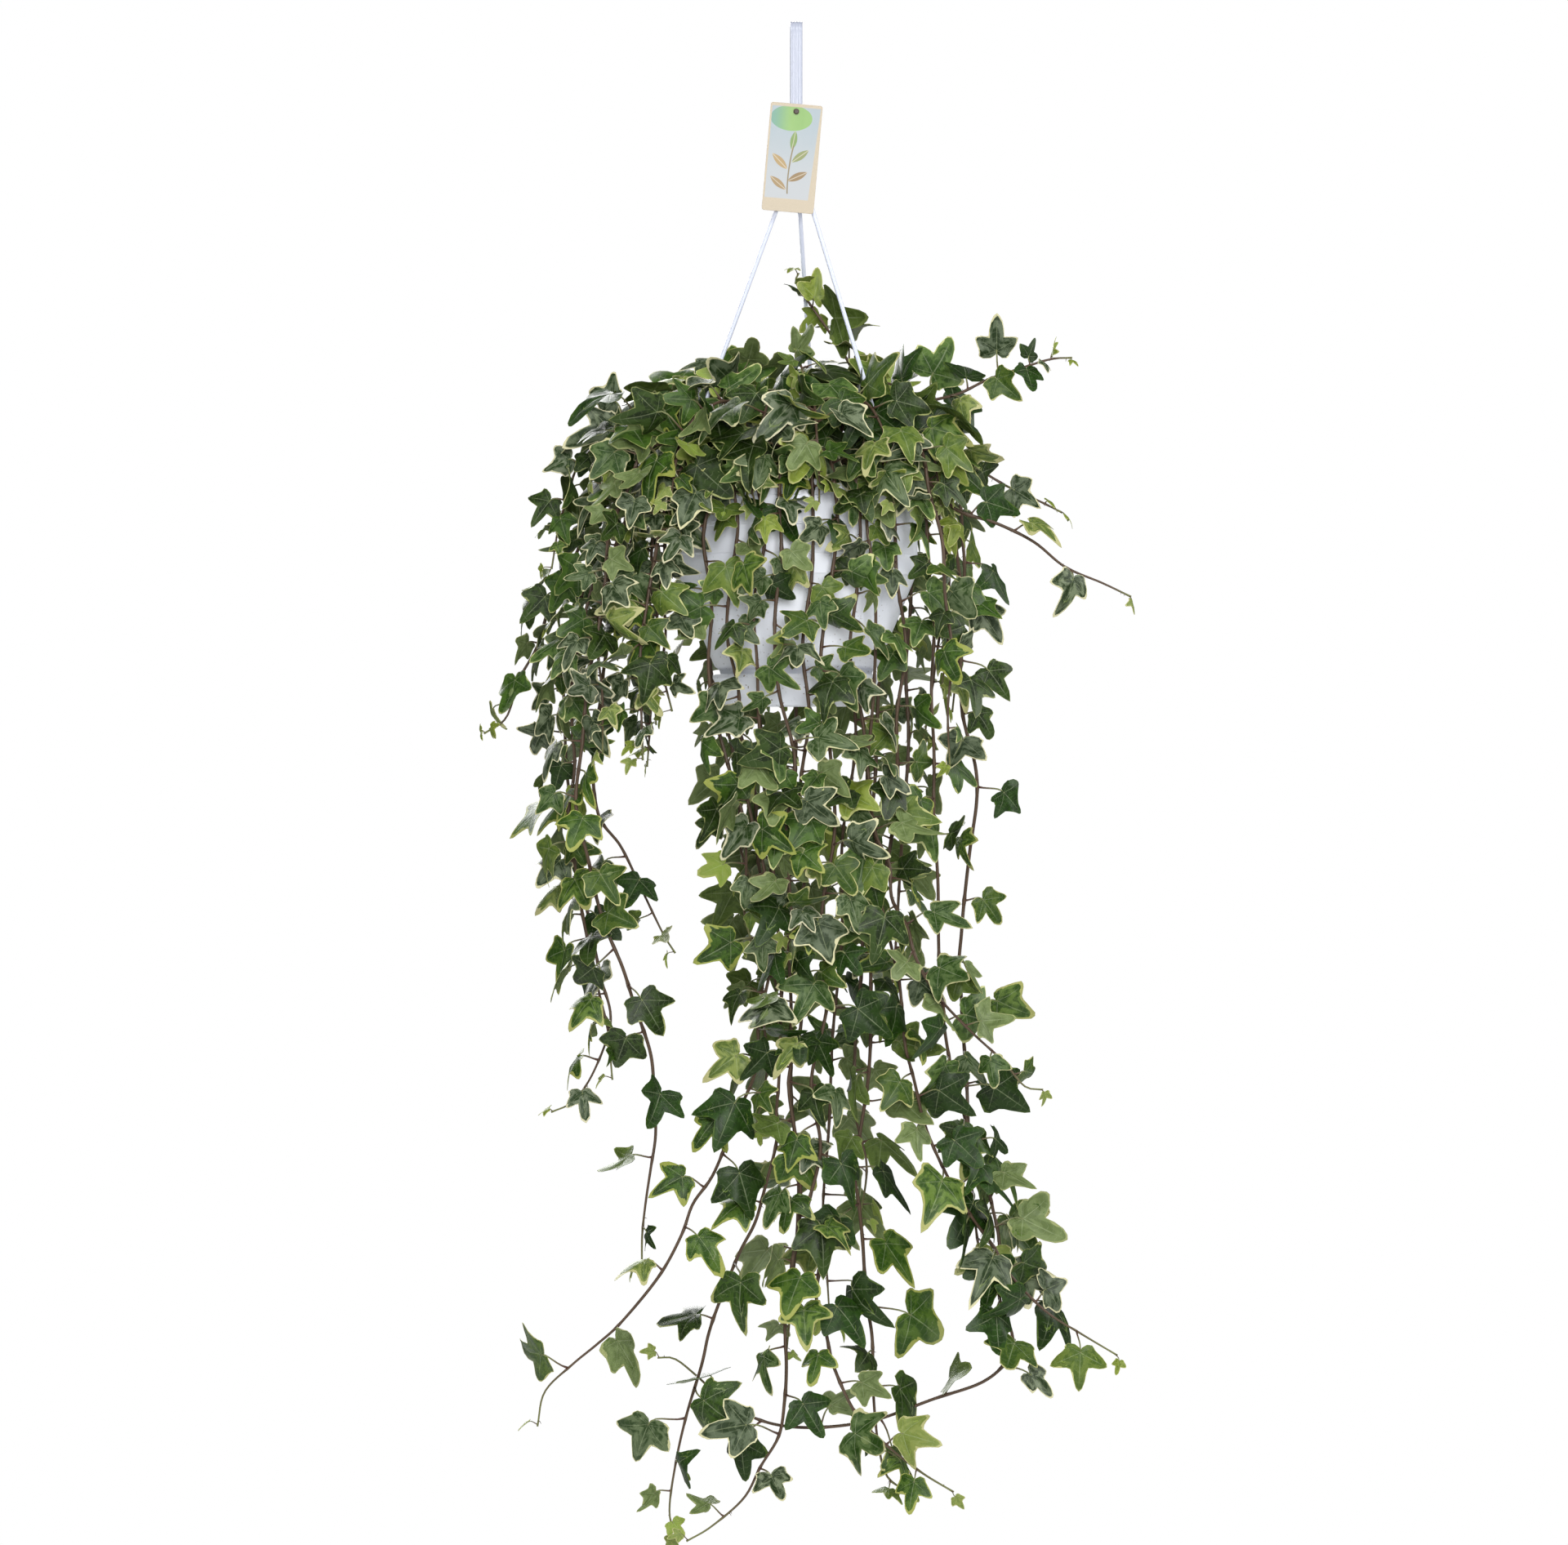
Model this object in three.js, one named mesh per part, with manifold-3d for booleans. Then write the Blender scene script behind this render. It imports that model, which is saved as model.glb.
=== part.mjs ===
// A hanging pot of variegated ivy: plastic pot and saucer, three-armed hanger, care tag, soil and plant.
// Millimetres, +Z up, the front is -Y. The origin is the point where the hook bears on what holds it up.
import * as THREE from "three";
import { mergeVertices } from "three/addons/utils/BufferGeometryUtils.js";
import Module from "manifold-3d";

const wasm = await Module();
wasm.setup();

// Clearance between pieces that touch
const GAP = 0.3;

// Pot
const RIM_TOP = -371;
const RIM_LIP_RADIUS = 101;
const RIM_LIP_HEIGHT = 4;
const RIM_WIDTH = 3.4;
const COLLAR_RADIUS = 99.4;
const COLLAR_BOTTOM = -406.5;
const RIB_HEIGHT = 0.9;
const RIB_COUNT = 36;
const RIB_TOP = -383;
const STEP_Z = -429;
const STEP_DEPTH = 0.9;
const BODY_RADIUS = 98;
const BODY_FOOT_Z = -519;
const BODY_FOOT_RADIUS = 66;
const SHOULDER_WIDTH = 4;
const SHOULDER_HEIGHT = 3;
const FOOT_RADIUS = 55;
const POT_BOTTOM = -548.7;
const POT_WALL = 2.4;
const ROUND_STEPS = 36;
const DRAIN_AZIMUTHS = [30, 150, 270];
const DRAIN_RADIUS = 4;
const DRAIN_RING = 34;

// Saucer
const SAUCER_TOP = -525.5;
const SAUCER_LIP_RADIUS = 67.5;
const SAUCER_BASE = -551;
const SAUCER_BASE_RADIUS = 58;
const SAUCER_FLOOR = 2;
const SAUCER_WALL = 1.8;
const SAUCER_ROLL = 2;

// Soil
const SOIL_TOP = -392;
const SOIL_CROWN = 2;
const HOLE_RADIUS = 11;
const HOLE_DEPTH = 12;

// Hanger
const STRAP_WIDTH = 10;
const STRAP_THICK = 2.4;
const HOOK_RADIUS = 7;
const HOOK_TAIL_Z = -36;
const HOOK_FLARE = 2;
const HOOK_FLARE_HEIGHT = 6;
const HOOK_STEPS = 6;
const STRAP_STRAIGHT_Z = -84;
const HUB_Z = -110;
const HUB_RADIUS = 6.5;
const HUB_HEIGHT = 12;
const STRAP_FOOT = 8;
const ARM_AZIMUTHS = [-40, 80, 200];
const ARM_RADIUS = 1.7;
const CLIP_WIDTH = 9;
const CLIP_PLATE = 2.2;
const CLIP_DROP = 14;
const CLIP_INNER_DROP = 10;
const CLIP_PLAY = 1.1;

// Tag and its pin
const TAG_WIDTH = 42;
const TAG_HEIGHT = 88;
const TAG_THICK = 0.7;
const TAG_CORNER = 2;
const TAG_HOLE_Z = -71.3;
const TAG_HOLE_BELOW_TOP = 6.2;
const TAG_STANDOFF = 0.75;
const TAG_LEAN_DEG = 5;
const TAG_TILT_DEG = 3.4;
const PIN_HEAD_RADIUS = 2.45;
const PIN_HEAD_HEIGHT = 1.1;
const PIN_RADIUS = 1.1;

// Ivy
const STEM_RADIUS = 1.7;
const STEM_TIP_RADIUS = 0.8;
const STEM_SIDES = 3;
const STEM_FLATNESS = 2;
const BLADE_THICK = 0.7;
const STALK_HALF = 0.6;
const STALK_ROOT = 1.4;
const STALK_FREE = 3.2;
const ONWARD = 0.72;
const SMALL_BLADE = 21;
const BLADE_RANGE = 16;
const OPEN_FROM = -380;
const OPEN_OVER = 80;
const AXIS_RADIUS = 20;
const TO_LIGHT = 0.7;
const BARE_START = 34;
const TIP_STRETCH = 60;
const TIP_LEAF = 99;
const TIP_LEAF_SIZE = 11;
const SLOTS = [[4, -4.5], [4, 4.5], [-4, -4.5], [-4, 4.5], [0, 0]];

// The plain solids carry the leaves whose draw for size is at least this, and every leaf at a stem's tip
const LARGE_LEAF = 0.84;

// How far a stem swings aside between two of its points: as a share of their distance, up to a reach
const SWAY = 0.24;
const SWAY_REACH = 90;
const SWAY_FROM = 50;

// Distance between leaves and the share of their full size, and how both grow down the stem
const LEAF_GAPS = [[-330, 13], [-430, 16], [-600, 21], [-850, 28], [-950, 36]];
const LEAF_SHARES = [[-230, 1.3], [-330, 1.1], [-400, 0.86], [-700, 1], [-1000, 1.2]];

// The factor of a stem that has none of its own
const EVEN = [[0, 1]];

// In front of the pot the stems are barer by this factor, so that the pot shows between the leaves
const BARE_FACTOR = 2.4;
const BARE_TOP = -398;
const BARE_BOTTOM = -550;
const BARE_HALF_WIDTH = 92;
const BARE_FRONT = -70;

// Each clump stands in its own hole at an azimuth and radius. A stem has a name, the azimuth where it
// crosses the rim, how far it arches above the rim (0 for none) and the points that it then passes, and some
// have a factor for the distance between their leaves, as steps of [height, factor].
const CLUMPS = [
  { azimuth: 355, radius: 66, stems: [
    ["right_outer", 345, 16, [[118, -30, -350], [128, -36, -420], [132, -36, -500], [134, -34, -560],
      [144, -32, -600], [145, -30, -628], [140, -26, -665], [135, -22, -710], [131, -20, -760],
      [134, -20, -810], [138, -16, -870], [140, -12, -925], [146, -6, -980], [156, -2, -1034]],
      [[-560, 1.2], [-580, 2.4], [-700, 2.4], [-740, 1.2], [-900, 1], [-930, 0.5]]],
    ["right_curtain", 0, 26, [[121, 3, -336], [132, -2, -384], [136, -4, -440], [132, -4, -500],
      [126, -4, -556]], [[0, 1.2]]],
    ["right_shoot", 352, 0, [[84, -14, -322], [104, -20, -307], [130, -24, -300], [155, -26, -288],
      [182, -28, -279], [205, -28, -272], [222, -28, -271]], [[0, 1.1]]],
    ["right_spray", 8, 22, [[104, 16, -342], [130, 18, -348], [150, 20, -360], [172, 20, -373],
      [196, 20, -384], [216, 20, -394]]],
  ] },
  { azimuth: 25, radius: 66, stems: [
    ["right_rear_short", 14, 18, [[114, 28, -350], [124, 32, -400], [124, 34, -470], [118, 32, -536]],
      [[0, 1.4]]],
    ["right_rear", 23, 26, [[112, 48, -344], [122, 56, -420], [116, 60, -500], [104, 62, -580]], [[0, 1.3]]],
    ["rear_right_low", 37, 14, [[88, 68, -362], [94, 72, -460], [92, 70, -580], [84, 62, -700],
      [76, 56, -800]]],
  ] },
  { azimuth: 60, radius: 66, stems: [
    ["rear_right_long", 52, 16, [[67, 88, -362], [70, 92, -480], [64, 88, -620], [54, 78, -760],
      [48, 68, -880], [52, 60, -970]], [[0, 0.9]]],
    ["rear_right_tail", 66, 12, [[44, 100, -362], [44, 104, -500], [38, 96, -660], [30, 84, -820],
      [22, 72, -960], [28, 62, -1060]], [[0, 0.9]]],
  ] },
  { azimuth: 103, radius: 66, stems: [
    ["rear_tail", 92, 16, [[-4, 108, -362], [-2, 112, -480], [-2, 104, -640], [-4, 90, -800],
      [2, 78, -940], [-8, 68, -1080]], [[0, 0.9]]],
    ["rear_middle", 104, 22, [[-27, 106, -355], [-30, 112, -430], [-30, 110, -560], [-22, 100, -700],
      [-14, 88, -820]]],
    ["rear_left_long", 116, 14, [[-48, 96, -364], [-52, 100, -470], [-46, 98, -570], [-32, 92, -670],
      [-28, 82, -790], [-34, 74, -900]]],
  ] },
  { azimuth: 143, radius: 66, stems: [
    ["rear_left_low", 130, 14, [[-70, 82, -362], [-72, 86, -460], [-66, 88, -540], [-46, 84, -620],
      [-34, 78, -700]]],
    ["rear_left_curtain", 143, 26, [[-92, 70, -350], [-108, 80, -430], [-118, 84, -530],
      [-122, 82, -600]], [[0, 0.6]]],
    ["left_rear", 155, 30, [[-118, 60, -352], [-148, 72, -420], [-166, 78, -500], [-172, 76, -580]],
      [[0, 0.8]]],
    ["rear_left_short", 158, 20, [[-106, 42, -352], [-118, 48, -430], [-121, 50, -510],
      [-114, 48, -566]], [[0, 0.7]]],
  ] },
  { azimuth: 178, radius: 66, stems: [
    ["left_stray", 166, 30, [[-126, 36, -350], [-168, 44, -402], [-200, 46, -466], [-210, 44, -500],
      [-226, 42, -530], [-236, 40, -560], [-254, 38, -573]], [[-480, 0.9], [-500, 1.2]]],
    ["left_curl", 173, 12, [[-110, 16, -355], [-138, 20, -430], [-156, 22, -520], [-165, 22, -600],
      [-160, 22, -640], [-142, 20, -665], [-125, 18, -700], [-108, 16, -735], [-98, 14, -751]],
      [[-560, 0.8], [-640, 1.3]]],
    ["left_hook", 182, 24, [[-124, 2, -352], [-164, 4, -424], [-188, 4, -520], [-186, 4, -600],
      [-174, 2, -690], [-158, 0, -770], [-150, -2, -805], [-163, -4, -845], [-180, -4, -870],
      [-198, -4, -879]]],
    ["left_outer", 191, 16, [[-118, -24, -350], [-150, -32, -410], [-168, -36, -470], [-180, -38, -530],
      [-178, -38, -600], [-183, -38, -640], [-175, -36, -700], [-163, -32, -760], [-152, -28, -810],
      [-148, -26, -852]], [[0, 0.9]]],
  ] },
  { azimuth: 209, radius: 66, stems: [
    ["left_long", 206, 14, [[-112, -56, -358], [-146, -70, -430], [-166, -76, -530], [-176, -74, -630],
      [-166, -70, -675], [-152, -62, -730], [-130, -52, -790], [-117, -44, -830], [-113, -38, -895],
      [-121, -38, -950], [-124, -38, -1004]],
      [[-560, 0.9], [-700, 1.1], [-850, 1.6], [-960, 1.5], [-980, 0.7]]],
    ["left_front_low", 220, 12, [[-92, -80, -362], [-112, -96, -430], [-124, -104, -510],
      [-122, -106, -595]], [[0, 0.75]]],
    ["left_front", 213, 26, [[-118, -78, -345], [-149, -92, -415], [-158, -102, -500], [-154, -104, -590]],
      [[0, 0.85]]],
    ["left_front_short", 226, 22, [[-84, -84, -352], [-98, -90, -420], [-104, -92, -490],
      [-99, -90, -556]], [[0, 0.7]]],
  ] },
  { azimuth: 242, radius: 66, stems: [
    ["front_left", 232, 20, [[-70, -88, -356], [-74, -96, -420], [-70, -98, -520], [-54, -94, -600],
      [-40, -88, -680], [-36, -82, -740]], [[-540, 1], [-570, 1.5]]],
    ["front_left_long", 242, 12, [[-52, -98, -364], [-52, -102, -450], [-46, -100, -540],
      [-36, -94, -640], [-26, -86, -730], [-30, -78, -800], [-48, -70, -880], [-66, -64, -925],
      [-92, -58, -975], [-110, -54, -1008], [-140, -48, -1045], [-180, -42, -1080], [-202, -38, -1102],
      [-208, -36, -1130]], [[-540, 1], [-570, 1.5], [-700, 1], [-900, 0.8], [-960, 0.9], [-980, 1.5]]],
    ["front_left_tail", 252, 16, [[-34, -104, -362], [-34, -108, -470], [-30, -106, -560],
      [-20, -98, -660], [-12, -90, -760], [-14, -82, -850], [-16, -74, -900], [-26, -66, -940],
      [-46, -58, -990], [-62, -50, -1030], [-76, -44, -1080], [-88, -38, -1120], [-97, -34, -1160],
      [-102, -30, -1200], [-95, -28, -1222]], [[-760, 1], [-800, 1.6], [-1060, 1.6], [-1090, 0.8]]],
  ] },
  { azimuth: 276, radius: 66, stems: [
    ["front_short", 264, 24, [[-12, -112, -352], [-12, -118, -430], [-14, -116, -540], [-8, -108, -650],
      [-2, -98, -750]]],
    ["front_tail", 276, 12, [[12, -106, -364], [12, -110, -450], [10, -106, -560], [8, -96, -680],
      [4, -86, -800], [0, -76, -900], [-4, -70, -1000], [-8, -66, -1080], [-14, -64, -1135],
      [-42, -62, -1185], [-68, -60, -1208], [-88, -58, -1220]], [[-1130, 0.9], [-1150, 1.4]]],
    ["front_right_tail", 285, 18, [[28, -106, -360], [28, -112, -450], [26, -108, -580], [20, -98, -720],
      [12, -86, -850], [8, -78, -960], [16, -72, -1025], [30, -66, -1080], [48, -62, -1118],
      [72, -58, -1143], [100, -56, -1165], [126, -54, -1181]], [[-900, 1], [-1000, 0.8]]],
  ] },
  { azimuth: 306, radius: 66, stems: [
    ["front_right_swing", 294, 14, [[45, -98, -362], [48, -102, -460], [52, -102, -560], [62, -96, -650],
      [76, -90, -705], [95, -84, -752], [112, -80, -782], [140, -76, -812], [165, -74, -835],
      [182, -72, -855], [197, -70, -858]]],
    ["front_right_mid", 313, 12, [[75, -80, -364], [80, -84, -450], [80, -82, -560], [72, -66, -680],
      [60, -54, -800], [50, -46, -900], [50, -42, -950], [55, -38, -1010], [61, -36, -1060],
      [62, -34, -1105], [66, -34, -1145], [74, -32, -1172], [94, -32, -1184]], [[-900, 1], [-1000, 0.8]]],
    ["front_right_long", 303, 20, [[60, -94, -358], [62, -100, -450], [60, -98, -560], [58, -86, -640],
      [66, -76, -700], [75, -70, -740], [85, -64, -800], [94, -60, -850], [104, -56, -890],
      [122, -52, -930], [142, -48, -963], [172, -44, -1008], [200, -40, -1037], [228, -38, -1055],
      [258, -36, -1073]], [[-600, 1.2], [-850, 0.9], [-900, 0.5], [-1020, 0.6], [-1040, 1.3]]],
    ["right_front", 325, 26, [[98, -80, -345], [116, -90, -420], [124, -94, -510], [122, -94, -600]]],
  ] },
  { azimuth: 333, radius: 66, stems: [
    ["right_front_loop", 329, 16, [[98, -58, -356], [106, -62, -440], [108, -62, -540], [110, -58, -640],
      [114, -50, -740], [122, -42, -830], [138, -36, -890], [152, -32, -930], [163, -28, -980],
      [164, -24, -1030], [174, -20, -1058], [170, -18, -1078], [150, -16, -1096], [110, -14, -1110],
      [66, -12, -1126], [20, -10, -1133], [-20, -10, -1130], [-54, -8, -1115], [-80, -8, -1092],
      [-98, -8, -1078], [-112, -8, -1077]],
      [[-600, 1.3], [-860, 0.9], [-900, 0.5], [-1060, 0.6], [-1080, 1.4]]],
    ["right_low_spray", 338, 8, [[106, -44, -372], [128, -52, -394], [160, -56, -405], [190, -58, -420],
      [215, -58, -440], [245, -58, -453], [268, -58, -464]], [[0, 1.4]]],
  ] },
  { azimuth: 30, radius: 30, stems: [
    ["top_shoot", 40, 0, [[50, 32, -335], [54, 32, -300], [44, 31, -274], [27, 30, -247], [11, 29, -224],
      [0, 28, -207], [2, 28, -199]]],
    ["crown_right", 20, 0, [[56, 22, -312], [88, 34, -312], [112, 42, -338], [122, 52, -384]]],
    ["crown_rear_right", 55, 0, [[34, 50, -312], [52, 80, -312], [64, 106, -345], [68, 116, -400]]],
    ["crown_top_right", 0, 0, [[34, 6, -320], [52, 2, -292], [74, -2, -290], [96, -8, -304]]],
  ] },
  { azimuth: 120, radius: 30, stems: [
    ["crown_rear", 88, 0, [[1, 54, -314], [2, 88, -306], [2, 118, -340], [4, 126, -400]]],
    ["crown_left_rear", 150, 0, [[-60, 32, -312], [-100, 51, -302], [-138, 64, -324], [-164, 68, -372],
      [-172, 68, -430]]],
    ["crown_rear_left", 120, 0, [[-38, 56, -312], [-56, 86, -312], [-66, 110, -345], [-70, 120, -400]]],
    ["crown_top_rear", 90, 0, [[-4, 22, -318], [2, 32, -286], [8, 48, -274], [14, 66, -288]]],
  ] },
  { azimuth: 210, radius: 30, stems: [
    ["crown_left", 180, 0, [[-58, -6, -312], [-104, 4, -312], [-146, 8, -326], [-176, 8, -356],
      [-192, 8, -404], [-198, 8, -440]]],
    ["crown_left_front", 203, 0, [[-62, -30, -315], [-100, -44, -308], [-136, -56, -328],
      [-156, -64, -375]]],
    ["crown_front_left", 228, 0, [[-46, -52, -314], [-72, -78, -314], [-92, -98, -342],
      [-100, -108, -390]]],
    ["crown_top_left", 190, 0, [[-34, -14, -316], [-42, -10, -286], [-62, -8, -280], [-84, -10, -294]]],
  ] },
  { azimuth: 300, radius: 30, stems: [
    ["crown_front", 250, 0, [[-14, -58, -314], [-22, -88, -310], [-30, -114, -340], [-32, -124, -395]]],
    ["crown_right_front", 305, 0, [[42, -56, -314], [58, -80, -312], [72, -100, -342], [78, -110, -392]]],
    ["crown_front_right", 275, 0, [[12, -60, -312], [14, -92, -308], [16, -120, -338], [18, -128, -392]]],
    ["crown_far_right", 333, 0, [[62, -30, -314], [88, -44, -314], [108, -54, -345], [116, -60, -392]]],
    ["crown_top_front", 270, 0, [[6, -24, -312], [0, -30, -284], [2, -48, -274], [6, -68, -288]]],
  ] },
];

const radians = THREE.MathUtils.degToRad;
const vec = (x, y, z) => new THREE.Vector3(x, y, z);
const around = (azimuth, radius, z) =>
  vec(radius * Math.cos(radians(azimuth)), radius * Math.sin(radians(azimuth)), z);
const UP = vec(0, 0, 1);

// A solid from a list of points and a list of triangles that index them.
function solidFrom(points, triangles) {
  const vertProperties = new Float32Array(points.flatMap((p) => [p.x, p.y, p.z]));
  const triVerts = new Uint32Array(triangles.flat());
  return new wasm.Manifold(new wasm.Mesh({ numProp: 3, vertProperties, triVerts }));
}

// A solid from a closed three.js geometry: shared corners are merged and empty triangles dropped.
function solidOf(geometry) {
  geometry.deleteAttribute("normal");
  geometry.deleteAttribute("uv");
  const merged = mergeVertices(geometry, 1e-4);
  const place = merged.getAttribute("position");
  const points = [];
  for (let i = 0; i < place.count; i++) points.push(vec(place.getX(i), place.getY(i), place.getZ(i)));
  const index = merged.index.array;
  const triangles = [];
  for (let i = 0; i < index.length; i += 3) {
    const [a, b, c] = index.slice(i, i + 3);
    if (a !== b && b !== c && c !== a) triangles.push([a, b, c]);
  }
  return solidFrom(points, triangles);
}

// A solid of revolution round +Z from a profile of [radius, height] points that starts and ends on the axis.
function turned(profile) {
  const points = profile.map(([r, z]) => new THREE.Vector2(r, z));
  return solidOf(new THREE.LatheGeometry(points, ROUND_STEPS).rotateX(Math.PI / 2));
}

// A straight plate: an outline of [x, y] points in the XY plane, extruded along +Z, then moved by a matrix.
function plate(outline, thickness, matrix, hole) {
  const shape = new THREE.Shape(outline.map(([x, y]) => new THREE.Vector2(x, y)));
  if (hole) shape.holes.push(hole);
  const settings = { depth: thickness, bevelEnabled: false, curveSegments: 3 };
  return solidOf(new THREE.ExtrudeGeometry(shape, settings).applyMatrix4(matrix));
}

// The skin of a tube through points, with its section square to the direction at each of them.
// bands[i][k] is the face between rings i and i + 1 on side k, as four corners seen from outside.
function tubeSkin(points, directions, radii, sides) {
  const corners = [];
  let side = null;
  points.forEach((p, i) => {
    const along = directions[i];
    if (!side) side = Math.abs(along.z) > 0.7 ? vec(1, 0, 0) : UP.clone();
    side.addScaledVector(along, -side.dot(along)).normalize();
    const across = along.clone().cross(side);
    for (let k = 0; k < sides; k++) {
      const angle = (2 * Math.PI * k) / sides;
      corners.push(p.clone()
        .addScaledVector(side, radii[i] * Math.cos(angle))
        .addScaledVector(across, radii[i] * Math.sin(angle)));
    }
  });
  const bands = [];
  for (let i = 0; i + 1 < points.length; i++) {
    const band = [];
    for (let k = 0; k < sides; k++) {
      const [a, b] = [i * sides + k, i * sides + ((k + 1) % sides)];
      band.push([a, b, b + sides, a + sides]);
    }
    bands.push(band);
  }
  const caps = [];
  const last = (points.length - 1) * sides;
  for (let k = 1; k + 1 < sides; k++) caps.push([0, k + 1, k], [last, last + k, last + k + 1]);
  return { corners, bands, caps };
}

const split = ([a, b, c, d]) => [[a, b, c], [a, c, d]];

function tube(points, directions, radii, sides) {
  const { corners, bands, caps } = tubeSkin(points, directions, radii, sides);
  return solidFrom(corners, [...bands.flat().flatMap(split), ...caps]);
}

function cylinder(radius, height, sides) {
  return new THREE.CylinderGeometry(radius, radius, height, sides).rotateX(Math.PI / 2);
}

// The pot's inner wall, from the floor's centre out and up to the rim, drawn in by a clearance.
function innerProfile(clear = 0) {
  const inset = POT_WALL + clear;
  return [
    [0, POT_BOTTOM + inset],
    [FOOT_RADIUS - inset, POT_BOTTOM + inset],
    [BODY_FOOT_RADIUS - SHOULDER_WIDTH - inset, BODY_FOOT_Z],
    [BODY_FOOT_RADIUS - inset, BODY_FOOT_Z + SHOULDER_HEIGHT],
    [BODY_RADIUS - STEP_DEPTH - inset, STEP_Z],
    [COLLAR_RADIUS - inset, COLLAR_BOTTOM + SHOULDER_HEIGHT],
  ];
}

// Points round a circle in the XY plane, at radii that take turns.
function ringPath(path, count, radii) {
  for (let i = 0; i < count; i++) {
    const p = around((360 * i) / count, radii[i % radii.length], 0);
    if (i === 0) path.moveTo(p.x, p.y);
    else path.lineTo(p.x, p.y);
  }
  return path;
}

// The upright ribs round the collar, as one fluted ring.
function makeRibs() {
  const flutes = ringPath(new THREE.Shape(), 2 * RIB_COUNT, [COLLAR_RADIUS + RIB_HEIGHT, COLLAR_RADIUS]);
  flutes.holes.push(ringPath(new THREE.Path(), ROUND_STEPS, [COLLAR_RADIUS - 1]));
  const depth = RIB_TOP - COLLAR_BOTTOM - 1;
  const ring = new THREE.ExtrudeGeometry(flutes, { depth, bevelEnabled: false });
  return solidOf(ring.translate(0, 0, COLLAR_BOTTOM + 1));
}

function makePot() {
  const lipBottom = RIM_TOP - RIM_LIP_HEIGHT;
  const outside = [
    [RIM_LIP_RADIUS - RIM_WIDTH, RIM_TOP],
    [RIM_LIP_RADIUS, RIM_TOP],
    [RIM_LIP_RADIUS, lipBottom],
    [COLLAR_RADIUS, lipBottom - 1],
    [COLLAR_RADIUS, COLLAR_BOTTOM],
    [BODY_RADIUS, COLLAR_BOTTOM - 0.5],
    [BODY_RADIUS, STEP_Z],
    [BODY_RADIUS - STEP_DEPTH, STEP_Z - STEP_DEPTH],
    [BODY_FOOT_RADIUS, BODY_FOOT_Z],
    [BODY_FOOT_RADIUS - SHOULDER_WIDTH, BODY_FOOT_Z - SHOULDER_HEIGHT],
    [FOOT_RADIUS, POT_BOTTOM],
    [0, POT_BOTTOM],
  ];
  let pot = turned([...innerProfile(), ...outside].reverse()).add(makeRibs());
  for (const azimuth of DRAIN_AZIMUTHS) {
    const p = around(azimuth, DRAIN_RING, POT_BOTTOM);
    pot = pot.subtract(solidOf(cylinder(DRAIN_RADIUS, 4 * POT_WALL, 6).translate(p.x, p.y, p.z)));
  }
  return pot;
}

function makeSaucer() {
  const floor = SAUCER_BASE + SAUCER_FLOOR;
  return turned([
    [0, SAUCER_BASE],
    [SAUCER_BASE_RADIUS, SAUCER_BASE],
    [SAUCER_LIP_RADIUS - 0.6, SAUCER_TOP - 2 * SAUCER_ROLL],
    [SAUCER_LIP_RADIUS, SAUCER_TOP - SAUCER_ROLL],
    [SAUCER_LIP_RADIUS, SAUCER_TOP],
    [SAUCER_LIP_RADIUS - SAUCER_WALL, SAUCER_TOP],
    [SAUCER_BASE_RADIUS - SAUCER_WALL, floor],
    [0, floor],
  ]);
}

const clumpCentre = (clump) => around(clump.azimuth, clump.radius, 0);

function makeSoil() {
  const wall = innerProfile(GAP);
  const edge = wall[wall.length - 1][0];
  const crown = SOIL_TOP + SOIL_CROWN;
  let soil = turned([...wall, [edge, SOIL_TOP - 1], [edge * 0.6, crown], [0, crown]]);
  for (const clump of CLUMPS) {
    const c = clumpCentre(clump);
    soil = soil.subtract(solidOf(cylinder(HOLE_RADIUS, 2 * HOLE_DEPTH, 6).translate(c.x, c.y, SOIL_TOP)));
  }
  return soil;
}

// The strap with its hook, seen from +X: [y, z] points up the front from the hub, over the top, down behind.
function hookOutline() {
  const outer = HOOK_RADIUS + STRAP_THICK;
  const bend = (radius, from, to) => {
    const points = [];
    for (let i = 0; i <= HOOK_STEPS; i++) {
      const angle = from + ((to - from) * i) / HOOK_STEPS;
      points.push([radius * Math.cos(angle), radius * Math.sin(angle) - HOOK_RADIUS]);
    }
    return points;
  };
  return [
    [-STRAP_THICK / 2, HUB_Z],
    [STRAP_THICK / 2, HUB_Z],
    [STRAP_THICK / 2, HUB_Z + STRAP_FOOT],
    [-HOOK_RADIUS, STRAP_STRAIGHT_Z],
    ...bend(HOOK_RADIUS, Math.PI, 0),
    [HOOK_RADIUS, HOOK_TAIL_Z + HOOK_FLARE_HEIGHT],
    [HOOK_RADIUS + HOOK_FLARE, HOOK_TAIL_Z],
    [outer + HOOK_FLARE, HOOK_TAIL_Z],
    [outer, HOOK_TAIL_Z + HOOK_FLARE_HEIGHT],
    ...bend(outer, 0, Math.PI),
    [-outer, STRAP_STRAIGHT_Z],
    [-STRAP_THICK / 2, HUB_Z + STRAP_FOOT],
  ];
}

// The clip that saddles the rim, seen along the rim: [radius, z] points.
function clipOutline() {
  const innerFace = RIM_LIP_RADIUS - RIM_WIDTH - CLIP_PLAY;
  const outerFace = RIM_LIP_RADIUS + GAP;
  const seat = RIM_TOP + GAP;
  return [
    [innerFace - CLIP_PLATE, seat - CLIP_INNER_DROP],
    [innerFace, seat - CLIP_INNER_DROP],
    [innerFace, seat],
    [outerFace, seat],
    [outerFace, seat - CLIP_DROP],
    [outerFace + CLIP_PLATE, seat - CLIP_DROP],
    [outerFace + CLIP_PLATE, seat + CLIP_PLATE],
    [innerFace - CLIP_PLATE, seat + CLIP_PLATE],
  ];
}

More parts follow.
